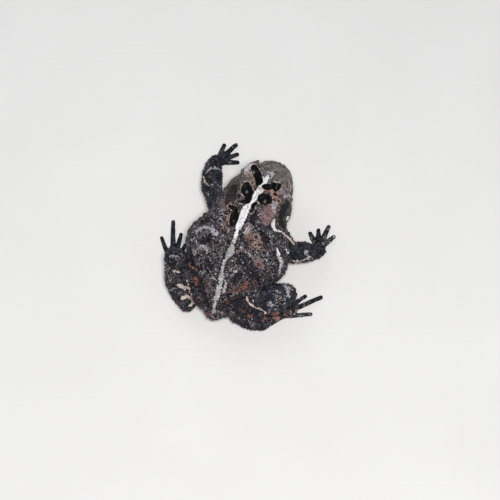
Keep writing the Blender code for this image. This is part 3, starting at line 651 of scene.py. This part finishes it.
def glands():
    """The two parotoid glands, right then left."""
    pitch, roll, yaw = GLAND_TILT
    return [ball(place, GLAND_RADII, (pitch, side * roll, side * yaw)) for side, place in both(GLAND)]


def add_domes(field):
    """The glossy domes on the nape and the long gland beside the line down the back."""
    for _, dome in both(DOME):
        field.add(ball(from_head(dome), DOME_RADII), FILLET["dome"])
    field.add(tube(BACK_GLAND, (BACK_GLAND_RADIUS,) * len(BACK_GLAND)), FILLET["gland"])


def digits(root, side, outward, table):
    """Centre lines and radii of a hand's or foot's digits, low at their tips."""
    lines = []
    for angle, length, radius in table:
        start = outward_of(root, side, outward + angle * ROOT_SPREAD, DIGIT_ROOT, root[2] * ROOT_HEIGHT)
        middle = outward_of(start, side, outward + angle, length * 0.5, DIGIT_HEIGHTS[0])
        tip = outward_of(middle, side, outward + angle * TIP_SPREAD, length * 0.5, DIGIT_HEIGHTS[1])
        lines.append((np.array([root, start, middle, tip]), radius))
    return lines


def add_digits(field, lines, web_share):
    """Adds tapering digits and the web that joins each to the next, up to a share of them."""
    knots = np.arange(len(DIGIT_TAPER))
    for line, radius in lines:
        field.add(tube(line, [radius * taper for taper in DIGIT_TAPER]), FILLET["digit"])
    for (first, _), (second, _) in zip(lines[:-1], lines[1:]):
        for share in np.linspace(1.0, 1.0 + 2.0 * web_share, WEB_STRANDS):
            a, b = (spline(knots, line, np.array([share]))[0] for line in (first, second))
            field.add(tube((a, b), (WEB_RADIUS,) * 2, 1), FILLET["web"])


def arm(i):
    """Centre lines and radii of an arm's upper arm and forearm, its palm and its digits."""
    side = SIDES[i][1]
    shoulder, elbow, wrist = (np.array(joint[i]) for joint in (SHOULDER, ELBOW, WRIST))
    upper = ((shoulder, shoulder * 0.45 + elbow * 0.55, elbow), UPPER_ARM_RADII)
    swell = elbow * 0.6 + wrist * 0.4 + (0, 0, 0.3)
    palm = outward_of(wrist, side, HAND_OUTWARD[i], PALM_LENGTH, PALM_HEIGHT)
    fore = ((elbow, swell, wrist, palm), FOREARM_RADII)
    return upper, fore, palm, digits(palm, side, HAND_OUTWARD[i], FINGERS)


def leg(i):
    """Centre lines and radii of a leg's thigh, shank, tarsus and sole, and its digits."""
    side = SIDES[i][1]
    hip, middle, knee, calf, heel, ankle = (np.array(at[i]) for at in (HIP, THIGH, KNEE, CALF, HEEL, ANKLE))
    bow = (heel + ankle) / 2 + (0, -0.9, -0.5)
    sole = outward_of(ankle, side, FOOT_OUTWARD[i], SOLE_LENGTH, SOLE_HEIGHT)
    return (
        ((hip, middle, knee), THIGH_RADII),
        ((knee, calf, heel), SHANK_RADII),
        ((heel, bow, ankle), TARSUS_RADII),
        ((ankle, (ankle + sole) / 2, sole), SOLE_RADII),
        digits(sole, side, FOOT_OUTWARD[i], TOES),
    )


def add_limbs(field):
    """Blends in the arms and legs, out to the tips of the digits."""
    for i in (0, 1):
        *bones, palm, fingers = arm(i)
        for bone, fillet in zip(bones, ARM_FILLETS):
            field.add(tube(*bone), fillet)
        field.add(ball(palm, PALM_RADII), FILLET["palm"])
        add_digits(field, fingers, FINGER_WEB)
        *bones, toes = leg(i)
        for bone, fillet in zip(bones, LEG_FILLETS):
            field.add(tube(*bone), fillet)
        add_digits(field, toes, TOE_WEB)


def whole_toad(step):
    """The field of the whole animal, flat where it rests on the floor."""
    field = Field(step)
    field.add(loft(TRUNK), FILLET["trunk"])
    add_head(field)
    for gland in glands():
        field.add(gland, FILLET["gland"])
    add_domes(field)
    add_limbs(field)
    open_eyes(field)
    heights = field.low[2] + step * np.arange(field.count[2])
    field.value = np.maximum(field.value, -heights.astype(np.float32))
    return field


def slopes(field, points):
    """Outward unit vectors of the field at points."""
    steps = np.eye(3) * field.step
    rise = np.stack([field.read(points + d) - field.read(points - d) for d in steps], axis=1)
    return rise / np.maximum(np.linalg.norm(rise, axis=1, keepdims=True), 1e-9)


def beside(points, place, reach):
    """Whether points lie within reach of a long gland in plan, whose length runs forward."""
    return np.hypot(points[:, 0] - place[0], (points[:, 1] - place[1]) * GLAND_SLIMNESS) < reach


def wart_scale(points, normals):
    """How large warts grow at points of the skin, from 0 where it is smooth."""
    left, forward, up = points.T
    head = in_head(points.T)
    outlying = (np.abs(left) > 23.5) | (forward < -19) | (forward > 30)
    on_head = (head[1] > -2) & (np.abs(head[0]) < HEAD_HALF)
    smooth = on_head & ((head[1] > 3) | (normals[:, 2] > 0.3))
    smooth |= (normals[:, 2] < 0.1) | (up < LOWEST_WART) | (np.abs(left) < LINE_HALF)
    smooth |= np.hypot(left - LEFT_HAND[0], forward - LEFT_HAND[1]) < HAND_REACH
    for _, gland in both(GLAND):
        smooth |= beside(points, gland, GLAND_REACH)
    smooth |= beside(points, BACK_GLAND[1], BACK_GLAND_REACH)
    return np.where(smooth, 0.0, np.where(outlying, OUTER_SCALE, 1.0))


def large_warts(field):
    """Centres, normals and radii of the large warts, drawn over the skin with room between them."""
    points, _ = net(field)
    random = np.random.default_rng(WART_SEED)
    points = points[random.integers(len(points), size=WART_TRIES)]
    normals = slopes(field, points)
    chances = random.random(WART_TRIES) ** 2
    least, most = LARGE_WART
    sizes = wart_scale(points, normals) * (least + (most - least) * chances)
    warts = []
    for point, normal, size in zip(points, normals, sizes):
        crowded = any(
            np.linalg.norm(point - other) < WART_ROOM * (size + radius) / 2 + 1 for other, _, radius in warts
        )
        if size > 0 and not crowded:
            warts.append((point, normal, size))
    return warts


def add_warts(field, warts):
    """Sets each wart on the skin as a ball with its root sunk and fused."""
    for point, normal, size in warts:
        field.add(ball(point - normal * size * WART_SUNK, (size,) * 3), size * 0.5)


def settle(value):
    """Fills in corners of the lattice where the surface would touch itself along an edge."""
    value = value.copy()
    low, high = slice(None, -1), slice(1, None)
    corners = ((low, low), (high, high), (low, high), (high, low))
    while True:
        inside = value < 0
        filled = np.zeros_like(inside)
        for axis in range(3):
            a, b, c, d = (np.moveaxis(inside, axis, 2)[corner] for corner in corners)
            crossed = (a == b) & (c == d) & (a != c)
            for corner in corners:
                np.moveaxis(filled, axis, 2)[corner] |= crossed
        filled &= ~inside
        if not filled.any():
            return value
        value[filled] = -FILL


def net(field):
    """Points and quads of the field's zero surface, one point in each cell that it crosses."""
    value = settle(field.value)
    units = np.eye(3, dtype=int)
    inside = value < 0
    shape = np.array(value.shape) - 1
    full = sum(inside[x : x + shape[0], y : y + shape[1], z : z + shape[2]].astype(np.int8)
               for x, y, z in np.ndindex(2, 2, 2))
    cells = np.argwhere((full > 0) & (full < 8))
    index = np.full(shape, -1)
    index[tuple(cells.T)] = np.arange(len(cells))
    total, hits = np.zeros((len(cells), 3)), np.zeros(len(cells))
    quads = []
    for axis in range(3):
        unit, one, two = units[axis], units[axis - 2], units[axis - 1]
        for corner in ((0, 0, 0), one, two, one + two):
            start = cells + corner
            a, b = value[tuple(start.T)], value[tuple((start + unit).T)]
            cross = (a < 0) != (b < 0)
            share = np.where(cross, a / np.where(cross, a - b, 1), 0)
            total += (start + unit * share[:, None]) * cross[:, None]
            hits += cross
        start = np.argwhere(np.diff(inside, axis=axis))
        corners = [index[tuple((start - back).T)] for back in (one + two, two, (0, 0, 0), one)]
        faces = np.stack(corners, axis=1)
        leaving = inside[tuple(start.T)]
        quads.append(np.where(leaving[:, None], faces, faces[:, ::-1]))
    return field.low + field.step * total / hits[:, None], np.concatenate(quads)


def eased(values, first, last):
    """0 before first, 1 past last and an even curve between them."""
    share = np.clip((values - first) / (last - first), 0, 1)
    return share * share * (3 - 2 * share)


def tree_of(points):
    """A tree that finds the points near a place."""
    tree = kdtree.KDTree(len(points))
    for i, point in enumerate(points):
        tree.insert(point, i)
    tree.balance()
    return tree


def raised(tree, spots, rise, profile):
    """Raises round spots (place, radius, tone), and keeps the strongest profile and its tone."""
    for spot, radius, tone in spots:
        for _, i, away in tree.find_range(Vector(spot), radius):
            share = (1 - (away / radius) ** 2) ** 2
            if share > profile[i, 0]:
                profile[i] = share, tone
            rise[i] = max(rise[i], share * radius * SMALL_WART_RISE)


def small_warts(points, normals, large, black):
    """Seeded small warts (place, radius, tone) between the large ones, with room round each."""
    random = np.random.default_rng(SMALL_WART_SEED)
    picks = random.integers(len(points), size=SMALL_WART_TRIES)
    least, most = SMALL_WART
    sizes = least + (most - least) * random.random(SMALL_WART_TRIES) ** SMALL_WART_SKEW
    tones = random.random(SMALL_WART_TRIES)
    places = points[picks]
    heads = in_head(places.T)
    on_head = (heads[1] > 1.0) & (np.abs(heads[0]) < HEAD_HALF)
    bare = (on_head & (random.random(SMALL_WART_TRIES) > HEAD_CHANCE)) | (places[:, 2] < 2.4)
    bare |= (normals[picks, 2] < -0.5) | (black[picks] > -0.5)
    for _, gland in both(GLAND):
        bare |= beside(places, gland, BARE_GLAND)
    balls = [(from_head(dome), BARE_DOME) for _, dome in both(DOME)]
    balls += [(middle, BARE_BACK_GLAND) for middle in BACK_GLAND]
    for middle, radius in balls:
        bare |= np.linalg.norm(places - middle, axis=1) < radius
    cells = collections.defaultdict(list)
    for point, _, size in large:
        cells[tuple((point // WART_CELL).astype(int))].append((point, size))
    warts = []
    for point, size, tone in zip(places[~bare], sizes[~bare], tones[~bare]):
        home = (point // WART_CELL).astype(int)
        near = (wart for shift in np.ndindex(3, 3, 3) for wart in cells[tuple(home + shift - 1)])
        if all(np.linalg.norm(point - other) > (size + radius) * SMALL_WART_ROOM for other, radius in near):
            cells[tuple(home)].append((point, size))
            warts.append((point, size, tone))
    return warts


def top_of(field, left, forward):
    """The height of the skin above each place in plan."""
    heights = field.low[2] + field.step * np.arange(field.count[2])
    i = np.round((np.array([left, forward]) - field.low[:2, None]) / field.step).astype(int)
    columns = field.value[i[0], i[1]] < 0
    return heights[field.count[2] - 1 - np.argmax(columns[:, ::-1], axis=1)]


def painted(points, field, strokes, steepness=1.0):
    """How far inside any of the strokes each point lies, in millimetres, and negative outside.

    A steepness under 1 counts heights for less, so that the marks run on down steep slopes.
    """
    weights = np.array((1.0, 1.0, steepness))
    depth = np.full(len(points), -STROKE_REACH)
    for stroke in strokes:
        table = np.array(stroke)
        knots = np.arange(len(table))
        places = np.linspace(0, len(table) - 1, (len(table) - 1) * STROKE_PIECES + 1)
        line = spline(knots, table, places) if len(table) > 2 else np.linspace(*table, len(places))
        centres = np.column_stack([line[:, :2], top_of(field, line[:, 0], line[:, 1])])
        margin = line[:, 2].max() + STROKE_REACH
        near = np.all((points > centres.min(0) - margin) & (points < centres.max(0) + margin), axis=1)
        close = np.flatnonzero(near)
        for centre, half in zip(centres, line[:, 2]):
            away = half - np.linalg.norm((points[close] - centre) * weights, axis=1)
            depth[close] = np.maximum(depth[close], away)
    return depth


def flat_list(points):
    """Points as an array that a form can measure."""
    return points.T[:, :, None, None]


def rough_skin(points, size, octaves):
    """Signed unevenness at points, from about -1 to 1."""
    return np.array([noise.fractal(Vector(point) / size, 1.0, 2.0, octaves) for point in points])


def regions(points, normals, field):
    """How far each point belongs to each region of the body, and how far it lies in painted shade where the
    skin is closed in, from 0 to 1.
    """
    flat = flat_list(points)
    trunk = loft(TRUNK).distance(flat)[:, 0, 0]
    head = loft(HEAD, in_head).distance(flat)[:, 0, 0]
    gland = np.minimum.reduce([form.distance(flat)[:, 0, 0] for form in glands()])
    left, ahead, _ = in_head(points.T)
    backward, downward = -points[:, 1], -points[:, 2]
    limb = eased(np.minimum(trunk, head), 0.3, 1.8)
    chin = eased(downward, -11.5, -10.0)
    return {
        "head": eased(ahead, -4.5, 0.5) * eased(-np.abs(left), -18.5, -16.5),
        "fore": eased(ahead, 3.0, 9.0),
        "gland": 1 - eased(gland, 0.0, 1.0),
        "limb": limb,
        "rear": eased(backward, 4.0, 14.0) * eased(-np.abs(points[:, 0]), -40.0, -4.0),
        "worn": eased(backward, -10.0, 0.0),
        "belly": eased(-normals[:, 2], 0.25, 0.75) * (1 - 0.4 * limb) * chin,
        # Painted shade: how closed in the skin is round each point, which darkens hollows and places where
        # parts meet
        "crease": np.clip(CREASE_SHADE_REACH - field.read(points + normals * CREASE_SHADE_REACH), 0, 1),
    }


def skin_data():
    """The skin's points, faces and attributes, in body coordinates."""
    field = whole_toad(STEP)
    large = large_warts(whole_toad(WART_STEP))
    add_warts(field, large)
    points, quads = net(field)
    normals = slopes(field, points)
    points = points - normals * np.clip(field.read(points), -MOST_SHIFT, MOST_SHIFT)[:, None]
    marks = {name: painted(points, field, layer, STEEPNESS.get(name, 1.0)) for name, layer in LAYERS.items()}
    marks.update(regions(points, normals, field))

    tree = tree_of(points)
    profile, rise = np.zeros((len(points), 2)), np.zeros(len(points))
    tops = [(point + normal * size * TOP_SHARE, size * TOP_REACH, (i * TONE_STEP) % 1)
            for i, (point, normal, size) in enumerate(large)]
    raised(tree, tops, np.zeros(len(points)), profile)
    left, forward, radii = np.array(BEADS).T
    centres = np.column_stack([left, forward, top_of(field, left, forward)])
    raised(tree, [(centre, radius, BEAD_TONE) for centre, radius in zip(centres, radii)], rise, profile)
    raised(tree, small_warts(points, normals, large, marks["black"]), rise, profile)
    smooth = eased(marks["black"], -0.2, 0.4)
    for height, size in ROUGHNESS_WAVES:
        rise += height * rough_skin(points, size, 2) * (1 - smooth)
    marks["tip"], marks["tone"] = profile.T
    return points + normals * rise[:, None], quads, marks


def to_world(points, origin):
    """Body coordinates as metres round the frame's origin."""
    return np.column_stack([points[:, 0] - origin[0], origin[1] - points[:, 1], points[:, 2]]) * METRES_PER_MM


def frame_origin():
    """Body coordinates of the frame's origin, from the left eye's place in the frame."""
    low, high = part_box("eye_left")
    middle = (np.array(low) + np.array(high)) / 2 / METRES_PER_MM
    eye = from_head(EYE)
    return eye[0] - middle[0], eye[1] + middle[1]


class Nodes:
    """Short calls for building one material's nodes."""

    def __init__(self, name):
        self.material = bpy.data.materials.new(name)
        self.material.use_nodes = True
        self.tree = self.material.node_tree
        self.shader = self.tree.nodes["Principled BSDF"]
        place = self.node("ShaderNodeTexCoord", {}, "Object")
        self.millimetres = self.vector("MULTIPLY", place, (1 / METRES_PER_MM,) * 3)

    def node(self, kind, values, output, **settings):
        """One output of a new node, whose inputs take values or links."""
        node = self.tree.nodes.new(kind)
        for name, value in settings.items():
            setattr(node, name, value)
        for key, value in values.items():
            self.put(node.inputs[key], value)
        return node.outputs[output]

    def put(self, socket, value):
        if isinstance(value, bpy.types.NodeSocket):
            self.tree.links.new(value, socket)
        elif socket.type == "RGBA" and len(value) == 3:
            socket.default_value = (*value, 1.0)
        else:
            socket.default_value = value

    def surface(self, values):
        """The material, with the shader's inputs set to the values."""
        for name, value in values.items():
            self.put(self.shader.inputs[name], value)
        return self.material

    def vector(self, operation, a, b):
        return self.node("ShaderNodeVectorMath", {0: a, 1: b}, "Vector", operation=operation)

    def math(self, operation, a, b=0.0, c=0.0):
        return self.node("ShaderNodeMath", {0: a, 1: b, 2: c}, 0, operation=operation)

    def times(self, *values, **ramps):
        """The product of the values, and of ramps over patterns given by name."""
        values += tuple(self.ramp(getattr(self, name), *ends) for name, ends in ramps.items())
        product = values[0]
        for value in values[1:]:
            product = self.math("MULTIPLY", product, value)
        return product

    def linear(self, value, factor, offset):
        return self.math("MULTIPLY_ADD", value, factor, offset)

    def attribute(self, name):
        return self.node("ShaderNodeAttribute", {}, "Fac", attribute_name=name)

    def noise(self, per_mm, detail=3.0, distortion=0.0, offset=0.0):
        place = self.vector("ADD", self.millimetres, (offset,) * 3)
        values = {"Vector": place, "Scale": per_mm, "Detail": detail, "Distortion": distortion}
        return self.node("ShaderNodeTexNoise", values, "Fac")

    def cells(self, per_mm, feature="F1", offset=0.0):
        values = {"Vector": self.vector("ADD", self.millimetres, (offset,) * 3), "Scale": per_mm}
        return self.node("ShaderNodeTexVoronoi", values, "Distance", feature=feature)

    def ramp(self, value, first, last):
        """0 at first, 1 at last, smooth between."""
        values = {"Value": value, "From Min": first, "From Max": last}
        return self.node("ShaderNodeMapRange", values, "Result", interpolation_type="SMOOTHSTEP")

    def mix(self, share, a, b):
        return self.node("ShaderNodeMix", {0: share, 6: a, 7: b}, 2, data_type="RGBA")

    def over(self, colour, paint, *masks, **ramps):
        """The colour, with a paint over it where every mask and ramp is 1."""
        return self.mix(self.times(*masks, **ramps), colour, paint)


class SkinNodes(Nodes):
    """The skin's nodes, with the patterns and regions that its layers share."""

    def __init__(self):
        super().__init__("toad_skin")
        for name, pattern in PATTERNS.items():
            setattr(self, name, self.noise(*pattern))
        for name in ("head", "fore", "gland", "limb", "rear", "worn", "belly", "crease", "tip", "tone"):
            setattr(self, name, self.attribute(name))
        self.ragged = self.linear(self.grain, 1.4, self.linear(self.torn, 2.0, -1.7))

    def stroke(self, name, soft, rag):
        """Where a mark is painted, with that soft and that ragged an edge."""
        return self.ramp(self.linear(self.ragged, rag, self.attribute(name)), -soft, soft)

    def off_limbs(self, loss):
        """1 on the body, and less by that loss on the limbs."""
        return self.linear(self.limb, -loss, 1.0)


def bare_skin(n):
    """Colours of the back, limbs, head and glands under their warts and markings."""
    seams = n.times(n.ramp(n.cells(0.5, "DISTANCE_TO_EDGE", 3), 0.13, 0.04), fine=(0.51, 0.56))
    dots = n.times(n.ramp(n.cells(0.85, offset=21), 0.33, 0.25), middle=(0.5, 0.56))
    dots = n.math("MAXIMUM", dots, n.times(fine=(0.57, 0.6), middle=(0.48, 0.54), grain=(0.42, 0.52)))
    back = n.over(DEEP, SLATE, middle=(0.42, 0.6))
    back = n.over(back, UMBER, broad=(0.45, 0.6), torn=(0.46, 0.56))
    back = n.over(back, n.over(ASH, CLAY, broad=(0.45, 0.55)), seams, 0.6)
    back = n.over(back, n.over(ASH, PINK_TAN, broad=(0.5, 0.6)), dots, 0.85)
    limb = n.over(LIMB_BLUE, LIMB_GREY, middle=(0.47, 0.6))
    limb = n.over(limb, ASH, fine=(0.59, 0.63), broad=(0.48, 0.56))
    limb = n.over(limb, CLAY, torn=(0.58, 0.62), broad=(0.52, 0.6))
    nape = n.over(NAPE_BROWN, HEAD_PALE, fine=(0.57, 0.63))
    head = n.mix(n.fore, nape, n.over(HEAD_BROWN, HEAD_PALE, middle=(0.38, 0.62)))
    head = n.over(head, HEAD_DARK, 0.7, torn=(0.48, 0.38))
    head = n.over(head, HEAD_DARK, 0.6, fine=(0.42, 0.36))
    gland = n.over(HEAD_BROWN, PINK_TAN, middle=(0.38, 0.62))
    gland = n.over(gland, HEAD_DARK, 0.6, grain=(0.5, 0.4))
    colour = n.mix(n.gland, n.mix(n.head, n.mix(n.limb, back, limb), head), gland)
    rust = n.ramp(n.linear(n.torn, 0.6, n.times(n.grain, 0.4)), 0.56, 0.62)
    return n.over(colour, RUST, n.rear, rust, 0.8)


def bead_colour(n):
    """Dark beads with violet-grey crowns that are painted sheen, and the odd pale glint that is a painted
    highlight.
    """
    # Painted sheen: lighter crowns on the warts and beads, pale on the head
    tops = n.mix(n.head, n.over(BEAD_SHEEN, CLAY, tone=(0.85, 0.95)), HEAD_PALE)
    beads = n.over(n.mix(n.head, BEAD, HEAD_DARK), tops, n.off_limbs(0.5), tip=(0.42, 0.85))
    # Painted highlight: a pale glint on the very tip of some warts
    return n.over(beads, ASH, n.off_limbs(0.7), tip=(0.9, 0.97), tone=(0.3, 0.5))


def tan_marks(n, colour):
    """Tan patches with dark eyespots ringed in orange."""
    tan = n.stroke("tan", 0.3, 1.8)
    rings = n.linear(n.grain, 0.35, n.math("SUBTRACT", n.cells(0.4, offset=41), 0.17))
    colour = n.over(colour, CLAY, tan, 0.85, fine=(0.46, 0.54))
    colour = n.over(colour, ORANGE_TAN, tan, n.ramp(rings, 0.52, 0.42), grain=(0.42, 0.52))
    return n.over(colour, BEAD, tan, n.ramp(rings, 0.38, 0.3))


def pink_marks(n, colour, bead):
    """Rosy glands, pitted and flecked, showing less on the beads."""
    rosy = n.over(ROSE, PINK_TAN, torn=(0.42, 0.6))
    rosy = n.over(rosy, HEAD_DARK, n.ramp(n.cells(0.95, offset=63), 0.34, 0.2), 0.75)
    rosy = n.over(rosy, HEAD_PALE, grain=(0.56, 0.64))
    return n.over(colour, rosy, n.stroke("pink", 0.4, 1.6), n.linear(bead, -0.8, 0.88))


def bright_marks(n, colour):
    """Orange and cream marks and the white line, on a dark edge, frayed at the rear and on limbs."""
    edge = n.ramp(n.linear(n.ragged, 0.8, n.attribute("cream")), -1.1, -0.4)
    colour = n.over(colour, DEEP, edge, 0.6)
    flame = n.over(ORANGE_TAN, n.mix(n.rear, PEACH, RUST), grain=(0.4, 0.6))
    colour = n.over(colour, flame, n.stroke("orange", 0.16, 1.2), fine=(0.45, 0.51))
    light = n.linear(n.math("MAXIMUM", n.worn, n.limb), -0.24, n.math("ADD", n.fine, n.grain))
    shaded, lit = n.mix(n.limb, BONE, LIMB_TAN), n.mix(n.limb, IVORY, LIMB_CREAM)
    frayed = n.math("MAXIMUM", n.times(n.limb, 0.45), n.times(n.worn, n.off_limbs(0.7)))
    cream = n.stroke("cream", 0.16, n.linear(frayed, 0.9, 0.6))
    return n.mix(cream, colour, n.mix(n.ramp(light, 0.8, 1.08), shaded, lit))


def skin_relief(n, ink):
    """Fine granules, lower on the head and gone from the glossy black, and pits in the glands."""
    granules = n.ramp(n.cells(2.0, offset=5), 0.75, 0.0)
    pits = n.ramp(n.cells(1.4, offset=9), 0.05, 0.3)
    height = n.linear(granules, 0.6, n.times(n.grain, 0.5))
    height = n.times(height, n.linear(n.head, -0.5, 1.0))
    height = n.linear(n.times(pits, n.gland), 0.6, height)
    height = n.times(height, n.linear(ink, -0.94, 1.0))
    values = {"Height": height, "Strength": BUMP_STRENGTH, "Distance": BUMP_METRES}
    return n.node("ShaderNodeBump", values, "Normal")


def skin_material():
    """The toad's skin: dark, warty and mottled, with its markings, painted sheen and glints on its warts and
    painted shade where the skin is closed in.
    """
    n = SkinNodes()
    colour = bare_skin(n)
    collar = n.times(n.linear(n.limb, -0.15, 0.3), n.ramp(n.tip, 0.32, 0.12))
    colour = n.over(colour, ASH, collar, tip=(0.0, 0.08), tone=(0.4, 0.6))
    bead, beads = n.ramp(n.tip, 0.12, 0.4), bead_colour(n)
    colour = n.over(colour, beads, bead, 0.94)
    # Dark blotches, and painted shade where the thighs meet the trunk
    colour = n.over(colour, DEEP, n.stroke("dark", 0.4, 1.4), 0.85)
    colour = tan_marks(n, colour)
    plum = n.stroke("plum", 0.3, 1.0)
    colour = n.over(colour, n.mix(bead, PLUM_BROWN, beads), plum, 0.92)
    colour = pink_marks(n, colour, bead)
    colour = n.over(colour, ASH, n.stroke("pale", 0.25, 2.0), grain=(0.4, 0.52))
    colour = n.over(colour, n.over(BELLY_CREAM, SLATE, torn=(0.5, 0.6)), n.belly, torn=(0.3, 0.4))
    black = n.linear(n.ragged, 0.3, n.attribute("black"))
    rim = n.over(PEACH, LIMB_CREAM, fine=(0.45, 0.55))
    colour = n.over(colour, rim, n.ramp(black, -0.55, -0.25), 0.75, torn=(0.47, 0.54))
    colour = bright_marks(n, colour)
    ink = n.ramp(black, -0.12, 0.08)
    colour = n.mix(ink, colour, INK)
    matt = n.linear(n.math("MAXIMUM", bead, plum), -0.34, n.linear(n.fine, 0.3, 0.5))
    return n.surface({
        # Painted shade: the colour goes over to DEEP where the skin is closed in, in hollows and where parts
        # meet
        "Base Color": n.over(colour, DEEP, n.crease, 0.75),
        "Roughness": n.linear(ink, n.math("SUBTRACT", INK_ROUGHNESS, matt), matt),
        "Specular IOR Level": 0.13,
        "Normal": skin_relief(n, ink),
    })


def linked(name, data):
    """A new object that shows the data in the scene."""
    made = bpy.data.objects.new(name, data)
    bpy.context.scene.collection.objects.link(made)
    return made


def make_skin(origin):
    """One skin over all the flesh, kept inside the solids' box."""
    points, quads, marks = skin_data()
    low, high = (np.array(corner) for corner in cad_box)
    places = np.clip(to_world(points, origin), low, high)
    mesh = bpy.data.meshes.new("toad_skin")
    mesh.from_pydata(places, [], quads[:, ::-1])
    for name, values in marks.items():
        layer = mesh.attributes.new(name, "FLOAT", "POINT")
        layer.data.foreach_set("value", values.astype(np.float32))
    mesh.materials.append(skin_material())
    mesh.shade_smooth()
    skin = linked("toad_skin", mesh)
    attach(skin, "root")
    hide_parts(*(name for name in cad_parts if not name.startswith("eye")))


def eye_material():
    """Gold iris netted with black round a level oval pupil, under a wet cornea."""
    n = Nodes("toad_eye")
    x, y, z = (n.node("ShaderNodeSeparateXYZ", {0: n.millimetres}, axis) for axis in range(3))
    level, upright = (n.math("DIVIDE", place, half) for place, half in zip((x, y), PUPIL_HALF))
    pupil = n.math("SQRT", n.math("ADD", n.times(level, level), n.times(upright, upright)))
    net_lines = n.ramp(n.cells(2.6, "DISTANCE_TO_EDGE"), 0.02, 0.16)
    gold = n.mix(n.ramp(n.noise(3.5, 4, 0.8), 0.4, 0.62), AMBER, GOLD)
    iris = n.mix(net_lines, NET_BROWN, gold)
    iris = n.mix(n.ramp(pupil, 1.25, 1.05), iris, PUPIL_RIM)
    colour = n.mix(n.ramp(pupil, 1.04, 0.98), iris, PUPIL_BLACK)
    colour = n.mix(n.ramp(z, 2.3, 1.9), colour, EYE_BROWN)
    return n.surface({
        "Base Color": colour,
        "Roughness": 0.25,
        "Specular IOR Level": 0.1,
        "Coat Weight": 1.0,
        "Coat Roughness": 0.03,
        "Coat IOR": 1.33,
    })


def make_eyes(origin):
    """A ball for each eye, turned so that its pupil faces where the eye looks."""
    material = eye_material()
    for (side, eye), (name, _) in zip(both(EYE), SIDES):
        mesh = bpy.data.meshes.new("eyeball_" + name)
        shape = bmesh.new()
        radius = EYE_RADIUS * METRES_PER_MM
        bmesh.ops.create_uvsphere(shape, u_segments=2 * EYE_ROWS, v_segments=EYE_ROWS, radius=radius)
        shape.to_mesh(mesh)
        shape.free()
        mesh.materials.append(material)
        mesh.shade_smooth()
        eyeball = linked("eyeball_" + name, mesh)
        look, along, upward = eye_axes(side)
        places = [from_head(eye + axis) for axis in (np.zeros(3), -along, upward, look)]
        centre, *tips = to_world(np.array(places), origin)
        matrix = np.eye(4)
        matrix[:3, :3] = (np.array(tips) - centre).T / METRES_PER_MM
        matrix[:3, 3] = centre
        # Plain rows are read as the matrix's columns
        eyeball.matrix_world = matrix.T
        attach(eyeball, "root")
        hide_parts("eye_" + name)


def make_stage():
    """A pale floor, soft light from above and an even sky."""
    mesh = bpy.data.meshes.new("floor")
    corners = [(x * FLOOR_HALF, y * FLOOR_HALF, 0) for x, y in ((-1, -1), (1, -1), (1, 1), (-1, 1))]
    mesh.from_pydata(corners, [], [(0, 1, 2, 3)])
    n = Nodes("floor_paint")
    mesh.materials.append(n.surface({"Base Color": n.mix(n.noise(0.02, 3), *FLOOR_GREYS), "Roughness": 0.85}))
    linked("floor", mesh)
    for name, place, size, power in LAMPS:
        lamp = bpy.data.lights.new(name, "AREA")
        lamp.shape = "DISK"
        lamp.size = size
        lamp.energy = power
        lit = linked(name, lamp)
        lit.location = place
        lit.rotation_euler = (-Vector(place)).to_track_quat("-Z", "Y").to_euler()
    world = bpy.data.worlds.new("sky")
    world.use_nodes = True
    sky = world.node_tree.nodes["Background"].inputs
    sky["Color"].default_value = SKY
    sky["Strength"].default_value = SKY_STRENGTH
    bpy.context.scene.world = world
    bpy.context.scene.view_settings.view_transform = "Standard"


def make_camera(origin):
    """A long lens behind the animal and over its right side, looking down at 67 degrees."""
    azimuth, elevation = (math.radians(degrees) for degrees in CAMERA_ANGLES)
    heading = Vector((-math.sin(azimuth), math.cos(azimuth), 0))
    away = -heading * math.cos(elevation) + Vector((0, 0, math.sin(elevation)))
    camera = bpy.data.cameras.new("camera")
    camera.angle = 2 * math.atan(FRAME_WIDTH / 2 / CAMERA_DISTANCE)
    seen = linked("camera", camera)
    seen.location = Vector(to_world(np.array([CAMERA_TARGET]), origin)[0]) + away * CAMERA_DISTANCE
    seen.rotation_euler = (-away).to_track_quat("-Z", "Y").to_euler()
    bpy.context.scene.camera = seen


origin = frame_origin()
make_camera(origin)
make_stage()
make_skin(origin)
make_eyes(origin)
